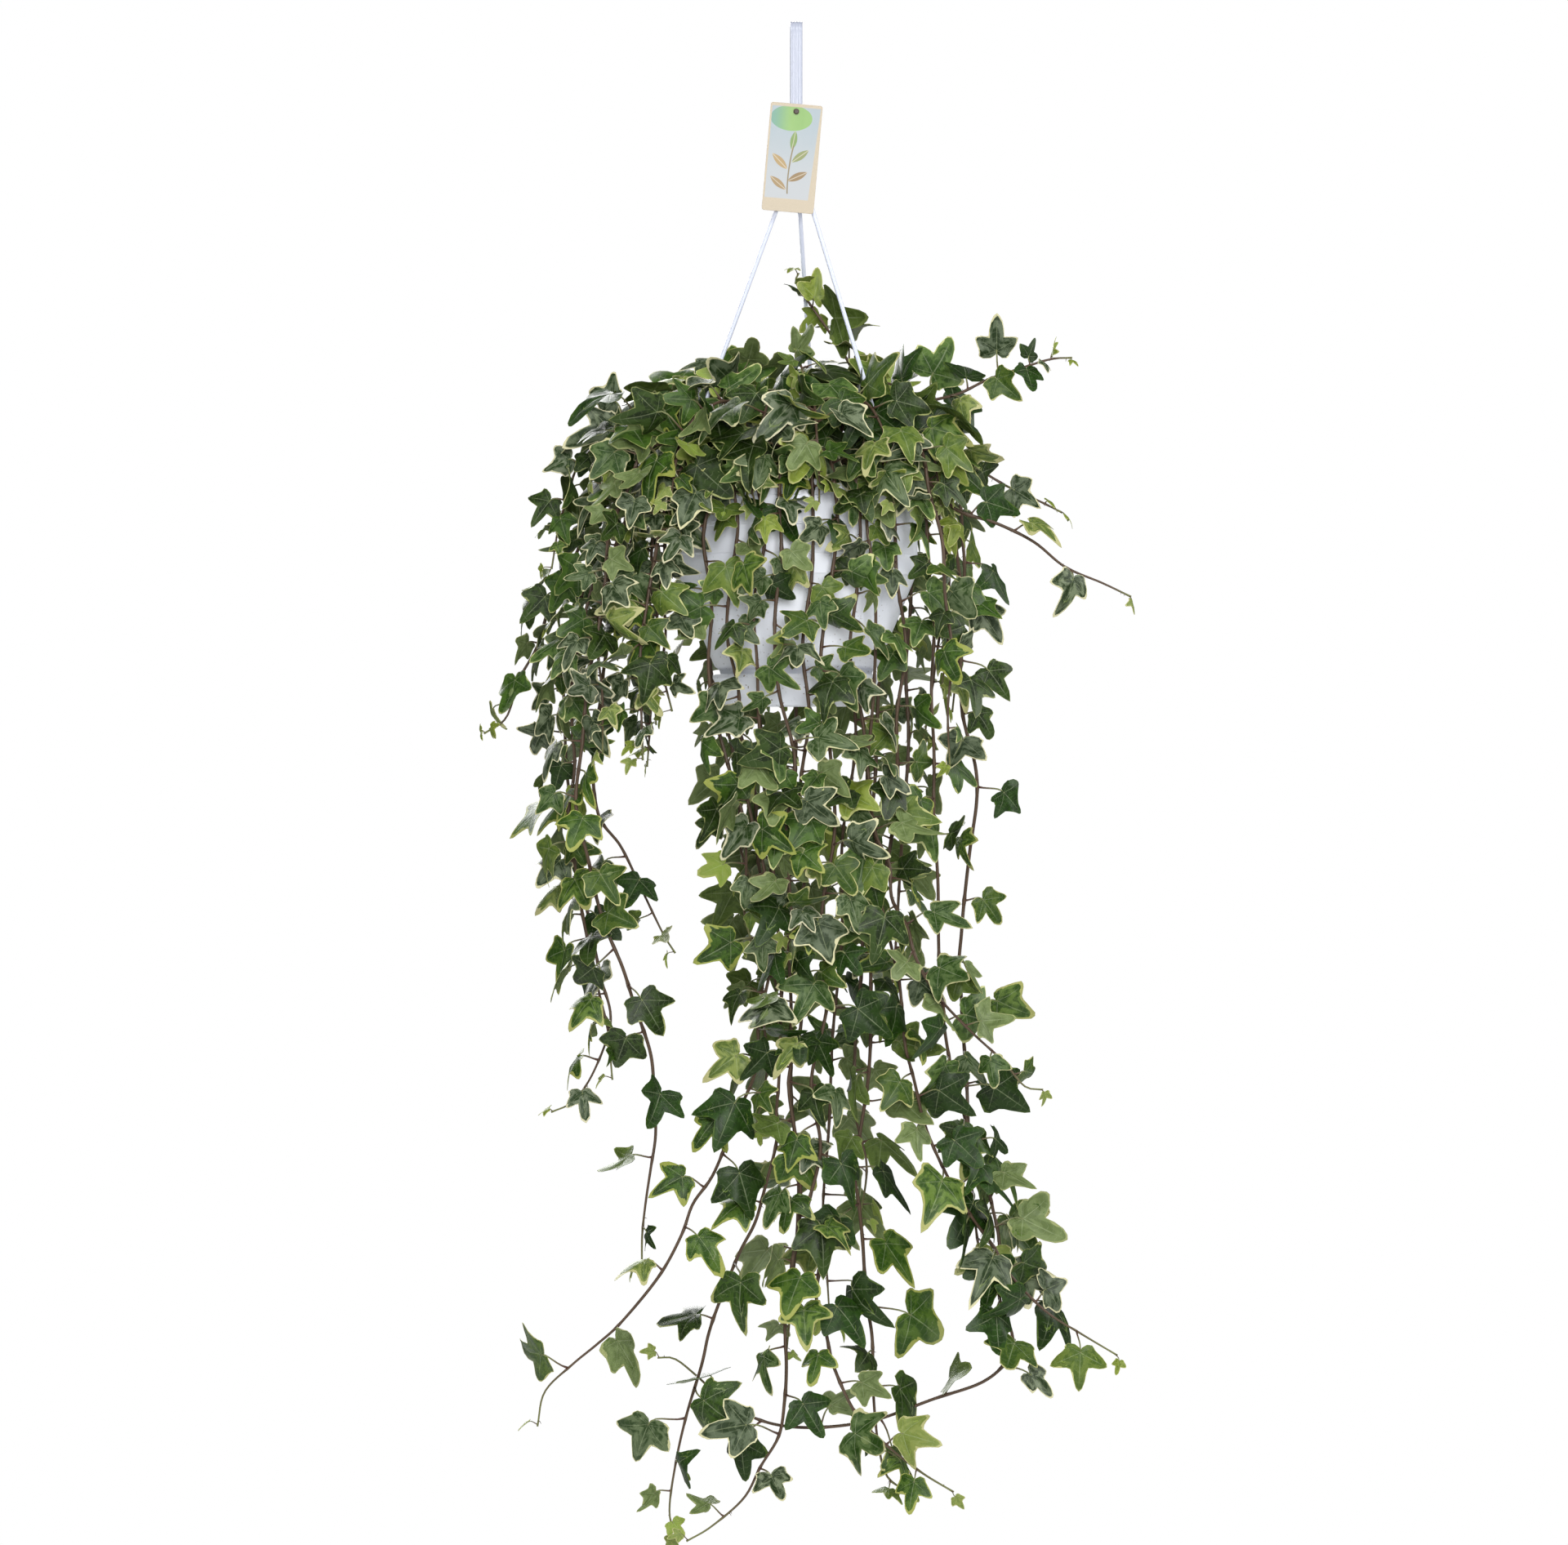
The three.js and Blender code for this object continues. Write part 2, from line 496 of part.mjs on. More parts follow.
// One arm and the clip at its foot.
function makeArm(azimuth) {
  const from = around(azimuth, 2, HUB_Z - 2);
  const to = around(azimuth, RIM_LIP_RADIUS + GAP + CLIP_PLATE / 2, RIM_TOP + GAP + CLIP_PLATE / 2);
  const slope = to.clone().sub(from).normalize();
  const arm = tube([from, to], [slope, slope], [ARM_RADIUS, ARM_RADIUS], 6);
  const out = around(azimuth, 1, 0);
  const along = out.clone().cross(UP);
  const place = new THREE.Matrix4().makeBasis(out, UP, along);
  place.setPosition(along.clone().multiplyScalar(-CLIP_WIDTH / 2));
  return arm.add(plate(clipOutline(), CLIP_WIDTH, place));
}

function makeHanger() {
  // The outline's plane is YZ: its x becomes y, its y becomes z, and it is extruded along x.
  const side = new THREE.Matrix4().makeBasis(vec(0, 1, 0), UP, vec(1, 0, 0));
  const strap = plate(hookOutline(), STRAP_WIDTH, side.setPosition(-STRAP_WIDTH / 2, 0, 0));
  const hole = new THREE.CylinderGeometry(PIN_RADIUS + GAP, PIN_RADIUS + GAP, 3 * STRAP_THICK, 6);
  const hub = new THREE.CylinderGeometry(HUB_RADIUS - 2, HUB_RADIUS, HUB_HEIGHT, 12).rotateX(Math.PI / 2);
  return wasm.Manifold.union([
    strap.subtract(solidOf(hole.translate(0, -HOOK_RADIUS - STRAP_THICK / 2, TAG_HOLE_Z))),
    solidOf(hub.translate(0, 0, HUB_Z)),
    ...ARM_AZIMUTHS.map(makeArm),
  ]);
}

function makeTag() {
  const half = TAG_WIDTH / 2;
  const top = TAG_HOLE_BELOW_TOP;
  const bottom = top - TAG_HEIGHT;
  const outline = [
    [-half + TAG_CORNER, top], [-half, top - TAG_CORNER],
    [-half, bottom + TAG_CORNER], [-half + TAG_CORNER, bottom],
    [half - TAG_CORNER, bottom], [half, bottom + TAG_CORNER],
    [half, top - TAG_CORNER], [half - TAG_CORNER, top],
  ];
  const hole = new THREE.Path();
  hole.absarc(0, 0, PIN_RADIUS + 0.6, 0, 2 * Math.PI, true);
  const back = -HOOK_RADIUS - STRAP_THICK - TAG_STANDOFF;
  const matrix = new THREE.Matrix4().makeTranslation(0, back, TAG_HOLE_Z)
    .multiply(new THREE.Matrix4().makeRotationX(radians(-TAG_TILT_DEG)))
    .multiply(new THREE.Matrix4().makeRotationY(radians(TAG_LEAN_DEG)))
    .multiply(new THREE.Matrix4().makeRotationX(radians(90)));
  return plate(outline, TAG_THICK, matrix, hole);
}

// A push pin: its head in front of the tag, its shaft through tag and strap.
function makePin() {
  const headBack = -HOOK_RADIUS - STRAP_THICK - TAG_STANDOFF - TAG_THICK - GAP;
  const shaftEnd = -HOOK_RADIUS + 0.5;
  const shaft = shaftEnd - headBack + 0.3;
  const head = new THREE.CylinderGeometry(PIN_HEAD_RADIUS, PIN_HEAD_RADIUS * 0.7, PIN_HEAD_HEIGHT, 10);
  const pin = solidOf(head.translate(0, headBack - PIN_HEAD_HEIGHT / 2, TAG_HOLE_Z));
  const body = new THREE.CylinderGeometry(PIN_RADIUS, PIN_RADIUS, shaft, 6);
  return pin.add(solidOf(body.translate(0, shaftEnd - shaft / 2, TAG_HOLE_Z)));
}

// A repeatable draw between 0 and 1 for a stem, one of its leaves and a purpose.
function draw(stem, leaf, purpose) {
  const v = Math.sin(stem * 12.9898 + leaf * 78.233 + purpose * 37.719) * 43758.5453;
  return v - Math.floor(v);
}

// A value between the ends of a list of [height, value] steps, read at a height.
function stepped(steps, z) {
  if (z >= steps[0][0]) return steps[0][1];
  for (let i = 1; i < steps.length; i++) {
    const [z0, v0] = steps[i - 1];
    const [z1, v1] = steps[i];
    if (z >= z1) return v0 + ((v1 - v0) * (z0 - z)) / (z0 - z1);
  }
  return steps[steps.length - 1][1];
}

// Points of a route and, midway between them, points that swing a little to one side or the other.
function swaying(stem, route) {
  const points = [route[0]];
  for (let i = 1; i < route.length; i++) {
    const chord = route[i].clone().sub(route[i - 1]);
    const reach = Math.min(chord.length(), SWAY_REACH);
    const middle = route[i - 1].clone().addScaledVector(chord, 0.5);
    const out = vec(middle.x, middle.y, 0).normalize();
    const aside = UP.clone().cross(out);
    const swing = reach * SWAY * (draw(stem, i, 10) - 0.5);
    if (reach > SWAY_FROM) points.push(middle.addScaledVector(aside, swing));
    points.push(route[i]);
  }
  return points;
}

// A stem's whole route: straight up out of its hole, over an arch above the rim, and along its own points.
function stemCurve(stem, clump, slot, [, azimuth, arch, route]) {
  const [radial, tangential] = SLOTS[slot];
  const out = around(clump.azimuth, 1, 0);
  const root = clumpCentre(clump).addScaledVector(out, radial)
    .addScaledVector(UP.clone().cross(out), tangential);
  const points = [-HOLE_DEPTH + GAP, 0, 8].map((rise) => root.clone().setZ(SOIL_TOP + rise));
  if (arch) points.push(around(azimuth, 90, RIM_TOP + arch));
  points.push(...swaying(stem, route.map((p) => vec(...p))));
  return new THREE.CatmullRomCurve3(points, false, "catmullrom", 0.5);
}

// The distance from a leaf's foot to the next one.
function leafGap({ x, y, z }, spread) {
  const bare = z < BARE_TOP && z > BARE_BOTTOM && y < BARE_FRONT && Math.abs(x) < BARE_HALF_WIDTH;
  return stepped(LEAF_GAPS, z) * stepped(spread, z) * (bare ? BARE_FACTOR : 1);
}

// Where each leaf of a stem stands: its foot on the stem, the end of its stalk, and its blade's directions.
function leavesOf(stem, azimuth, spread, curve) {
  const length = curve.getLength();
  const leaves = [];
  const add = (i, at, size, large) => {
    const foot = curve.getPointAt(at / length);
    const along = curve.getTangentAt(at / length);
    const grown = i === TIP_LEAF ? size : size * stepped(LEAF_SHARES, foot.z);
    leaves.push({ at, size: grown, large, ...pose(stem, i, azimuth, foot, along, grown) });
    return foot;
  };
  let at = BARE_START;
  for (let i = 0; at < length - TIP_LEAF_SIZE; i++) {
    const young = Math.min(1, 0.28 + (0.72 * (length - at)) / TIP_STRETCH);
    const large = draw(stem, i, 1);
    const foot = add(i, at, (SMALL_BLADE + BLADE_RANGE * large) * young, large);
    at += leafGap(foot, spread) * (0.75 + 0.5 * draw(stem, i, 2)) * (0.45 + 0.55 * young);
  }
  add(TIP_LEAF, length - 1.5, TIP_LEAF_SIZE, 1);
  return leaves;
}

// Leaves alternate along the stem and turn their blades outwards, or upwards on the crown, with tips down.
// All but the rear ones also turn to the light, which came from the front.
function pose(stem, i, azimuth, foot, along, size) {
  const between = (purpose, from, to) => THREE.MathUtils.lerp(from, to, draw(stem, i, purpose));
  const sum = (...terms) =>
    terms.reduce((total, [share, v]) => total.addScaledVector(v, share), vec(0, 0, 0)).normalize();
  const open = THREE.MathUtils.clamp((foot.z - OPEN_FROM) / OPEN_OVER, 0, 1);
  const onAxis = Math.hypot(foot.x, foot.y) < AXIS_RADIUS;
  const radial = onAxis ? around(azimuth, 1, 0) : vec(foot.x, foot.y, 0).normalize();
  const light = TO_LIGHT * (1 - Math.max(0, radial.y));
  const outward = sum([1 - 0.7 * open, radial], [0.3 + 0.6 * open, UP], [-light, vec(0, 1, 0)]);
  let side = along.clone().cross(outward);
  if (side.length() < 0.2) side = along.clone().cross(around(azimuth + 60, 1, 0.3));
  side.normalize().multiplyScalar(i % 2 ? 1 : -1);
  const leave = [between(3, 0.7, 1.1), between(4, 0.35, 0.95), between(5, -0.1, 0.4)];
  const away = sum([leave[0], side], [leave[1], outward], [leave[2], along]);
  const reach = size * between(6, 0.5, 1.05);
  const end = foot.clone().addScaledVector(away, 0.85 * reach).addScaledVector(UP, -0.1 * reach);
  const face = sum([1, outward], [between(7, -0.6, 0.9), side], [between(8, -0.7, 0.7), along]);
  const tip = sum([0.6, away], [-0.8, UP], [between(9, -0.9, 0.9), side]).projectOnPlane(face).normalize();
  return { foot, end, face, tip };
}

// The blade's right half from its notch to its tip: basal lobe, side lobe and the bay above it, as shares of
// the blade's length: across, along and in front of the leaf's plane.
const HALF_BLADE = [[0.36, -0.16, 0.02], [0.62, 0.33, -0.1], [0.26, 0.46, 0.03]];
const BLADE_TIP = [0, 1, -0.12];
const OUTLINE = 2 * HALF_BLADE.length + 3;

// A blade as a plate that is open at its notch, where the stalk joins: its corners in front, then behind.
function blade(leaf, extra = 0) {
  const across = leaf.tip.clone().cross(leaf.face);
  const lift = leaf.face.clone().multiplyScalar(BLADE_THICK / 2 + extra);
  const at = ([x, y, z], mirror) => leaf.end.clone()
    .addScaledVector(across, mirror * x * leaf.size)
    .addScaledVector(leaf.tip, y * leaf.size)
    .addScaledVector(leaf.face, z * leaf.size);
  const notch = [(STALK_HALF + extra) / leaf.size, 0, 0];
  const right = [notch, ...HALF_BLADE];
  const outline = [
    ...right.map((p) => at(p, 1)),
    at(BLADE_TIP, 1),
    ...right.map((p) => at(p, -1)).reverse(),
  ];
  const corners = [...outline.map((p) => p.clone().add(lift)), ...outline.map((p) => p.clone().sub(lift))];
  const n = OUTLINE;
  const front = [[0, right.length, n - 1]];
  for (let i = 1; i < right.length; i++) front.push([0, i, i + 1], [n - 1, n - 2 - i, n - 1 - i]);
  const faces = [...front, ...front.map(([a, b, c]) => [a + n, c + n, b + n])];
  for (let i = 0; i + 1 < n; i++) faces.push(...split([i, i + n, i + 1 + n, i + 1]));
  return { corners, faces };
}

// The notch's corners, in the order in which a stalk's root is met on the stem, seen from outside.
const NOTCH = [0, OUTLINE, 2 * OUTLINE - 1, OUTLINE - 1];

// The stalk's four sides, between the blade's notch and a root of four corners, split so that they bulge.
function stalk(corners, notch, root) {
  return notch.flatMap((d, i) => {
    const next = (i + 1) % notch.length;
    const [a, b, c] = [root[i], root[next], notch[next]];
    const seen = (k) => corners[k].clone().sub(corners[a]);
    return split(seen(b).cross(seen(c)).dot(seen(d)) < 0 ? [a, b, c, d] : [b, c, d, a]);
  });
}

// A leaf thickened by an extra skin, to test for clearance. Its stalk starts at a distance from the axis.
function leafSolid(leaf, extra, start) {
  const { corners, faces } = blade(leaf, extra);
  const foot = leaf.end.clone().sub(leaf.foot).setLength(start).add(leaf.foot);
  const across = leaf.tip.clone().cross(leaf.face).multiplyScalar(STALK_HALF + extra);
  const lift = leaf.face.clone().multiplyScalar(BLADE_THICK / 2 + extra);
  const root = [[1, 1], [1, -1], [-1, -1], [-1, 1]].map(([x, y], i) => {
    corners.push(foot.clone().addScaledVector(across, x).addScaledVector(lift, y));
    return 2 * OUTLINE + i;
  });
  return solidFrom(corners, [...faces, ...stalk(corners, NOTCH, root), ...split([...root].reverse())]);
}

// Places along a curve so that straight stretches between them stay within a distance of it.
function placesAlong(curve, length, from, to, distance) {
  const line = new THREE.Line3(curve.getPointAt(from / length), curve.getPointAt(to / length));
  const steps = Math.ceil((to - from) / 6);
  let far = distance;
  let middle = 0;
  for (let i = 1; i < steps; i++) {
    const at = from + ((to - from) * i) / steps;
    const p = curve.getPointAt(at / length);
    const d = line.closestPointToPoint(p, true, vec()).distanceTo(p);
    if (d > far) {
      far = d;
      middle = at;
    }
  }
  if (!middle) return [to];
  return [[from, middle], [middle, to]].flatMap(([a, b]) => placesAlong(curve, length, a, b, distance));
}

// A stem with its leaves as one skin: each stalk grows out of a short face of the stem.
function leafyStem(curve, leaves) {
  const length = curve.getLength();
  const marks = [0];
  const goTo = (to) => marks.push(...placesAlong(curve, length, marks.at(-1), to, STEM_FLATNESS));
  const bandOf = leaves.map((leaf) => {
    goTo(leaf.at - STALK_ROOT / 2);
    marks.push(leaf.at + STALK_ROOT / 2);
    return marks.length - 2;
  });
  goTo(length);
  const path = marks.map((at) => curve.getPointAt(at / length));
  const directions = marks.map((at) => curve.getTangentAt(at / length));
  const radii = marks.map((at) => THREE.MathUtils.lerp(STEM_RADIUS, STEM_TIP_RADIUS, at / length));
  const { corners, bands, caps } = tubeSkin(path, directions, radii, STEM_SIDES);
  const faces = [...caps];
  leaves.forEach((leaf, i) => {
    const band = bands[bandOf[i]];
    const away = leaf.end.clone().sub(leaf.foot);
    const facing = ([a, b, c]) => {
      const out = corners[b].clone().sub(corners[a]).cross(corners[c].clone().sub(corners[a])).normalize();
      return out.dot(away);
    };
    const best = band.reduce((x, y) => (facing(y) > facing(x) ? y : x));
    band.splice(band.indexOf(best), 1);
    const first = corners.length;
    const plate = blade(leaf);
    corners.push(...plate.corners);
    faces.push(...plate.faces.map((face) => face.map((k) => k + first)));
    const notch = NOTCH.map((k) => k + first);
    // The root's corners in the turn that twists the stalk least
    const along = away.normalize();
    const seen = (k, from) => corners[k].clone().sub(corners[from]).projectOnPlane(along).normalize();
    const match = ([a, b, c, d]) =>
      seen(a, c).dot(seen(notch[0], notch[2])) + seen(b, d).dot(seen(notch[1], notch[3]));
    const roots = [0, 1, 2, 3].map((turn) => [...best.slice(turn), ...best.slice(0, turn)]);
    faces.push(...stalk(corners, notch, roots.reduce((x, y) => (match(y) > match(x) ? y : x))));
  });
  return solidFrom(corners, [...faces, ...bands.flat().flatMap(split)]);
}

// The poses that a leaf tries in turn where it would cross another leaf or stem: rolled, raised or lowered.
const ROLLS = [0, 0.35, -0.35, 0.7, -0.7, 1.05, -1.05];
const RAISES = [0, 0.45, -0.45];
const TURNS = ROLLS.length * RAISES.length;

function bentClear(leaf, turn) {
  const angle = ROLLS[turn % ROLLS.length];
  const raised = RAISES[Math.floor(turn / ROLLS.length)];
  const side = leaf.tip.clone().cross(leaf.face);
  const face = leaf.face.clone().applyAxisAngle(leaf.tip, angle).applyAxisAngle(side, raised);
  const tip = leaf.tip.clone().applyAxisAngle(side, raised);
  const reach = leaf.end.clone().sub(leaf.foot).applyAxisAngle(leaf.face, angle / 2);
  // A blade leads on from its stalk: it neither points back along it nor stands square to it.
  const onward = reach.clone().normalize();
  tip.addScaledVector(onward, Math.max(0, ONWARD - tip.dot(onward))).normalize();
  face.projectOnPlane(tip).normalize();
  return { ...leaf, face, tip, end: leaf.foot.clone().add(reach) };
}

const apart = (a, b) => {
  const p = a.boundingBox();
  const q = b.boundingBox();
  return [0, 1, 2].some((k) => p.min[k] > q.max[k] || q.min[k] > p.max[k]);
};
const meets = (a, b) => !apart(a, b) && a.intersect(b).volume() > 1e-5;

function paint(color, roughness, metalness = 0) {
  return new THREE.MeshStandardMaterial({ color, roughness, metalness });
}

const part = new THREE.Group();

function addNode(name, solid, material) {
  const mesh = solid.getMesh();
  const geometry = new THREE.BufferGeometry();
  geometry.setAttribute("position", new THREE.BufferAttribute(mesh.vertProperties, 3));
  geometry.setIndex(new THREE.BufferAttribute(mesh.triVerts, 1));
  geometry.computeVertexNormals();
  const node = new THREE.Mesh(geometry, material);
  node.name = name;
  part.add(node);
}

const whitePlastic = paint(0xe4e6f2, 0.45);
const clearPlastic = paint(0xe9ecf6, 0.35);
const hard = {
  pot: [makePot(), whitePlastic],
  saucer: [makeSaucer(), whitePlastic],
  hanger: [makeHanger(), clearPlastic],
  tag: [makeTag(), paint(0xe8d8bf, 0.5)],
  tag_pin: [makePin(), paint(0x2c1d12, 0.6)],
  soil: [makeSoil(), paint(0x2b2019, 0.95)],
};
for (const [name, [solid, material]] of Object.entries(hard)) addNode(name, solid, material);

// Every stem's tube comes first, so that the leaves of all stems keep clear of it.
const stems = [];
for (const clump of CLUMPS) {
  clump.stems.forEach((row, slot) => {
    const curve = stemCurve(stems.length, clump, slot, row);
    const steps = Math.ceil(curve.getLength() / 12);
    const path = curve.getSpacedPoints(steps);
    const directions = path.map((_, i) => curve.getTangentAt(i / steps));
    const bare = tube(path, directions, path.map(() => STEM_RADIUS + GAP), 6);
    const name = "stem_" + row[0];
    const [, azimuth, , , spread = EVEN] = row;
    stems.push({ number: stems.length, name, azimuth, spread, curve, bare, leaves: [], solids: [bare] });
  });
}

const hardSolids = Object.values(hard).map(([solid]) => solid);
for (const stem of stems) {
  for (const leaf of leavesOf(stem.number, stem.azimuth, stem.spread, stem.curve)) {
    if (leaf.large < LARGE_LEAF) continue;
    const others = stems.flatMap((s) => (s === stem ? s.solids.slice(1) : s.solids));
    for (let turn = 0; turn < TURNS; turn++) {
      const tried = bentClear(leaf, turn);
      const grown = leafSolid(tried, GAP / 2, 0);
      if (meets(leafSolid(tried, GAP / 2, STALK_FREE), stem.bare)) continue;
      if ([...hardSolids, ...others].some((solid) => meets(grown, solid))) continue;
      stem.leaves.push(tried);
      stem.solids.push(grown);
      break;
    }
  }
}

const ivyGreen = paint(0x4d6b3a, 0.55);
for (const stem of stems) addNode(stem.name, leafyStem(stem.curve, stem.leaves), ivyGreen);
export default part;
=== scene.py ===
# %% [markdown]
# # A hanging pot of variegated ivy
#
# The real thing is a white moulded pot that hangs by a clip-on hanger. Long stems of ivy climb out of the soil,
# bend over the rim and trail more than half a metre below the pot. Every piece here is made in the frame of the
# imported solids, in metres, with the hook's bearing point as the origin, +Z up and the front towards -Y. This
# first cell loads that frame.

# %% The frame
import math

import bpy
import numpy as np
from mathutils import Matrix, Vector


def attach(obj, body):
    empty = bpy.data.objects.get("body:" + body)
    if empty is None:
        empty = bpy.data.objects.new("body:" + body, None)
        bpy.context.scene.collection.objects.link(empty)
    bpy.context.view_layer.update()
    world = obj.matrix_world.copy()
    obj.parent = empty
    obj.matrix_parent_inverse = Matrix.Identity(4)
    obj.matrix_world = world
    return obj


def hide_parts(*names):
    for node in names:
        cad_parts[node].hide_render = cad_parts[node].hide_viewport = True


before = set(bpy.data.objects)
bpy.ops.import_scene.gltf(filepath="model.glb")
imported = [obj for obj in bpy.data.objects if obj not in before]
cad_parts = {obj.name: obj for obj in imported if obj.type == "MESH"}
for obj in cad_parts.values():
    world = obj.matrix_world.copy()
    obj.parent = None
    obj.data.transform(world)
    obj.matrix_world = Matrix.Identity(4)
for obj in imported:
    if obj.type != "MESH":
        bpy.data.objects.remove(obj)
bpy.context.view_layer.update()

MM = 0.001

# %% [markdown]
# ## The camera
#
# The plant was seen level and from far away: the rim's two edges lie on one line, and near and far stems have
# one scale. A long lens from 6 m does the same. The picture's scale comes from the rim, which is 200 mm wide,
# and two named pixels say where the hook's top stands in the picture.

# %% The camera
IMAGE_WIDTH, IMAGE_HEIGHT = 1920, 1892
RIM_WIDTH_PX, RIM_WIDTH_MM = 303, 200
HOOK_PX = (975, 30)
CAMERA_DISTANCE = 6.0
SENSOR_WIDTH_MM = 36


def linked(name, data):
    """A new object around its data, linked to the scene."""
    made = bpy.data.objects.new(name, data)
    bpy.context.scene.collection.objects.link(made)
    return made


mm_per_px = RIM_WIDTH_MM / RIM_WIDTH_PX
picture_width = IMAGE_WIDTH * mm_per_px * MM
centre_x = (IMAGE_WIDTH / 2 - HOOK_PX[0]) * mm_per_px * MM
centre_z = (HOOK_PX[1] - IMAGE_HEIGHT / 2) * mm_per_px * MM

lens = bpy.data.cameras.new("camera")
lens.sensor_fit = "HORIZONTAL"
lens.sensor_width = SENSOR_WIDTH_MM
lens.lens = SENSOR_WIDTH_MM * CAMERA_DISTANCE / picture_width
camera = linked("camera", lens)
camera.location = (centre_x, -CAMERA_DISTANCE, centre_z)
camera.rotation_euler = (math.radians(90), 0, 0)
bpy.context.scene.camera = camera
print("camera at", tuple(round(v, 3) for v in camera.location), "lens", round(lens.lens), "mm")

# %% [markdown]
# ## The floor
#
# A round pale floor lies well below the lowest tip. It could be a big box or a curved studio sweep, but the
# plant hangs free and the floor is hardly seen, so a flat disc does.

# %% Floor
FLOOR_Z, FLOOR_RADIUS = -1.62, 2.4
FLOOR_TONE, FLOOR_ROUGHNESS = 0.86, 0.9


def grey(value):
    return (value, value, value, 1)


bpy.ops.mesh.primitive_circle_add(vertices=96, radius=FLOOR_RADIUS, fill_type="NGON",
                                  location=(0, 0, FLOOR_Z))
floor = bpy.context.object
floor.name = "floor"
floor_paint = bpy.data.materials.new("floor")
floor_paint.use_nodes = True
floor_sockets = floor_paint.node_tree.nodes["Principled BSDF"].inputs
floor_sockets["Base Color"].default_value = grey(FLOOR_TONE)
floor_sockets["Roughness"].default_value = FLOOR_ROUGHNESS
floor.data.materials.append(floor_paint)
print("floor at", FLOOR_Z, "m")

# %% [markdown]
# ## Backdrop and light
#
# The plant hangs in front of plain white, so the world itself is the backdrop: white to the camera, dim as
# a light, which keeps the hollows between the leaves dark. The light is soft: a wide panel a little above and
# beside the camera reaches the pot between the leaves, a second one lights the crown from above, and others
# stand at the sides and behind, for the views from there. The plain view keeps white white, where a filmic
# one would grey it and eat the thin stems.

# %% Light
BACKDROP_STRENGTH, DIM_STRENGTH = 1, 0.1
PANEL_AIM = (0, 0, -0.55)

# Each panel's place and width and height in metres, and its watts
PANELS = {
    "panel_front": ((0.5, -5.0, 0.1), (1.4, 1.4), 185),
    "panel_above": ((0.5, -2.0, 2.2), (1.6, 1.6), 70),
    "panel_left": ((-3.2, -2.4, 0.8), (1.6, 2.0), 55),
    "panel_right": ((3.4, 0.2, 0.8), (1.6, 2.0), 75),
    "panel_rear": ((-1.2, 3.6, 0.9), (2.4, 2.0), 150),
}

bpy.context.scene.view_settings.view_transform = "Standard"
world = bpy.data.worlds.new("studio")
bpy.context.scene.world = world
world.use_nodes = True
sky = world.node_tree
backdrop = sky.nodes["Background"]
dim = sky.nodes.new("ShaderNodeBackground")
for background, strength in ((backdrop, BACKDROP_STRENGTH), (dim, DIM_STRENGTH)):
    background.inputs["Color"].default_value = grey(1)
    background.inputs["Strength"].default_value = strength
rays = sky.nodes.new("ShaderNodeLightPath")
choose = sky.nodes.new("ShaderNodeMixShader")
sky.links.new(rays.outputs["Is Camera Ray"], choose.inputs[0])
sky.links.new(dim.outputs[0], choose.inputs[1])
sky.links.new(backdrop.outputs[0], choose.inputs[2])
sky.links.new(choose.outputs[0], sky.nodes["World Output"].inputs["Surface"])


def panel(name, place, size, watts):
    light = bpy.data.lights.new(name, "AREA")
    light.shape = "RECTANGLE"
    light.size, light.size_y = size
    light.energy = watts
    holder = linked(name, light)
    holder.location = place
    holder.rotation_euler = (Vector(PANEL_AIM) - Vector(place)).to_track_quat("-Z", "Y").to_euler()


for name, (where, size, watts) in PANELS.items():
    panel(name, where, size, watts)

# %% [markdown]
# ## Shader maths that reads like maths
#
# A finish is a tree of nodes, but most of it is plain arithmetic on what changes over a surface. A small
# class wraps a socket and answers to + - * / and a few named functions, so that each expression turns into
# its Math nodes. Wiring every node by hand would say the same in ten times the lines.

# %% Shader maths


def operator(operation, reflected=False):
    """A method that makes one Math node. Where it is reflected, the wire is the second value."""
    def method(wire, *others):
        values = (*others, wire) if reflected else (wire, *others)
        return wire.finish.node("ShaderNodeMath", {"operation": operation}, dict(enumerate(values)))

    return method


class Wire:
    """One output of a node, which can be used in an expression as a number is."""

    def __init__(self, finish, socket):
        self.finish = finish
        self.socket = socket

    __add__, __radd__ = operator("ADD"), operator("ADD", reflected=True)
    __sub__, __rsub__ = operator("SUBTRACT"), operator("SUBTRACT", reflected=True)
    __mul__, __rmul__ = operator("MULTIPLY"), operator("MULTIPLY", reflected=True)
    __truediv__, __rtruediv__ = operator("DIVIDE"), operator("DIVIDE", reflected=True)
    __gt__ = operator("GREATER_THAN")
    floor, fraction, absolute = operator("FLOOR"), operator("FRACT"), operator("ABSOLUTE")
    sine, cosine, direction = operator("SINE"), operator("COSINE"), operator("ARCTAN2")
    power, at_least = operator("POWER"), operator("MAXIMUM")

    def step(self, low, high):
        """0 below low and 1 above high, with a smooth change between. It falls where low is above high."""
        sockets = {"Value": self, "From Min": min(low, high), "From Max": max(low, high)}
        if low > high:
            sockets.update({"To Min": 1.0, "To Max": 0.0})
        return self.finish.node("ShaderNodeMapRange", {"interpolation_type": "SMOOTHSTEP"}, sockets)


print("shader maths ready")

# %% [markdown]
# ## A finish and its nodes
#
# A finish is one material. Every node that isn't arithmetic comes from one method, which takes its type, its
# settings and the values or links of its sockets, so the finishes below read as what they do.

# %% Finishes


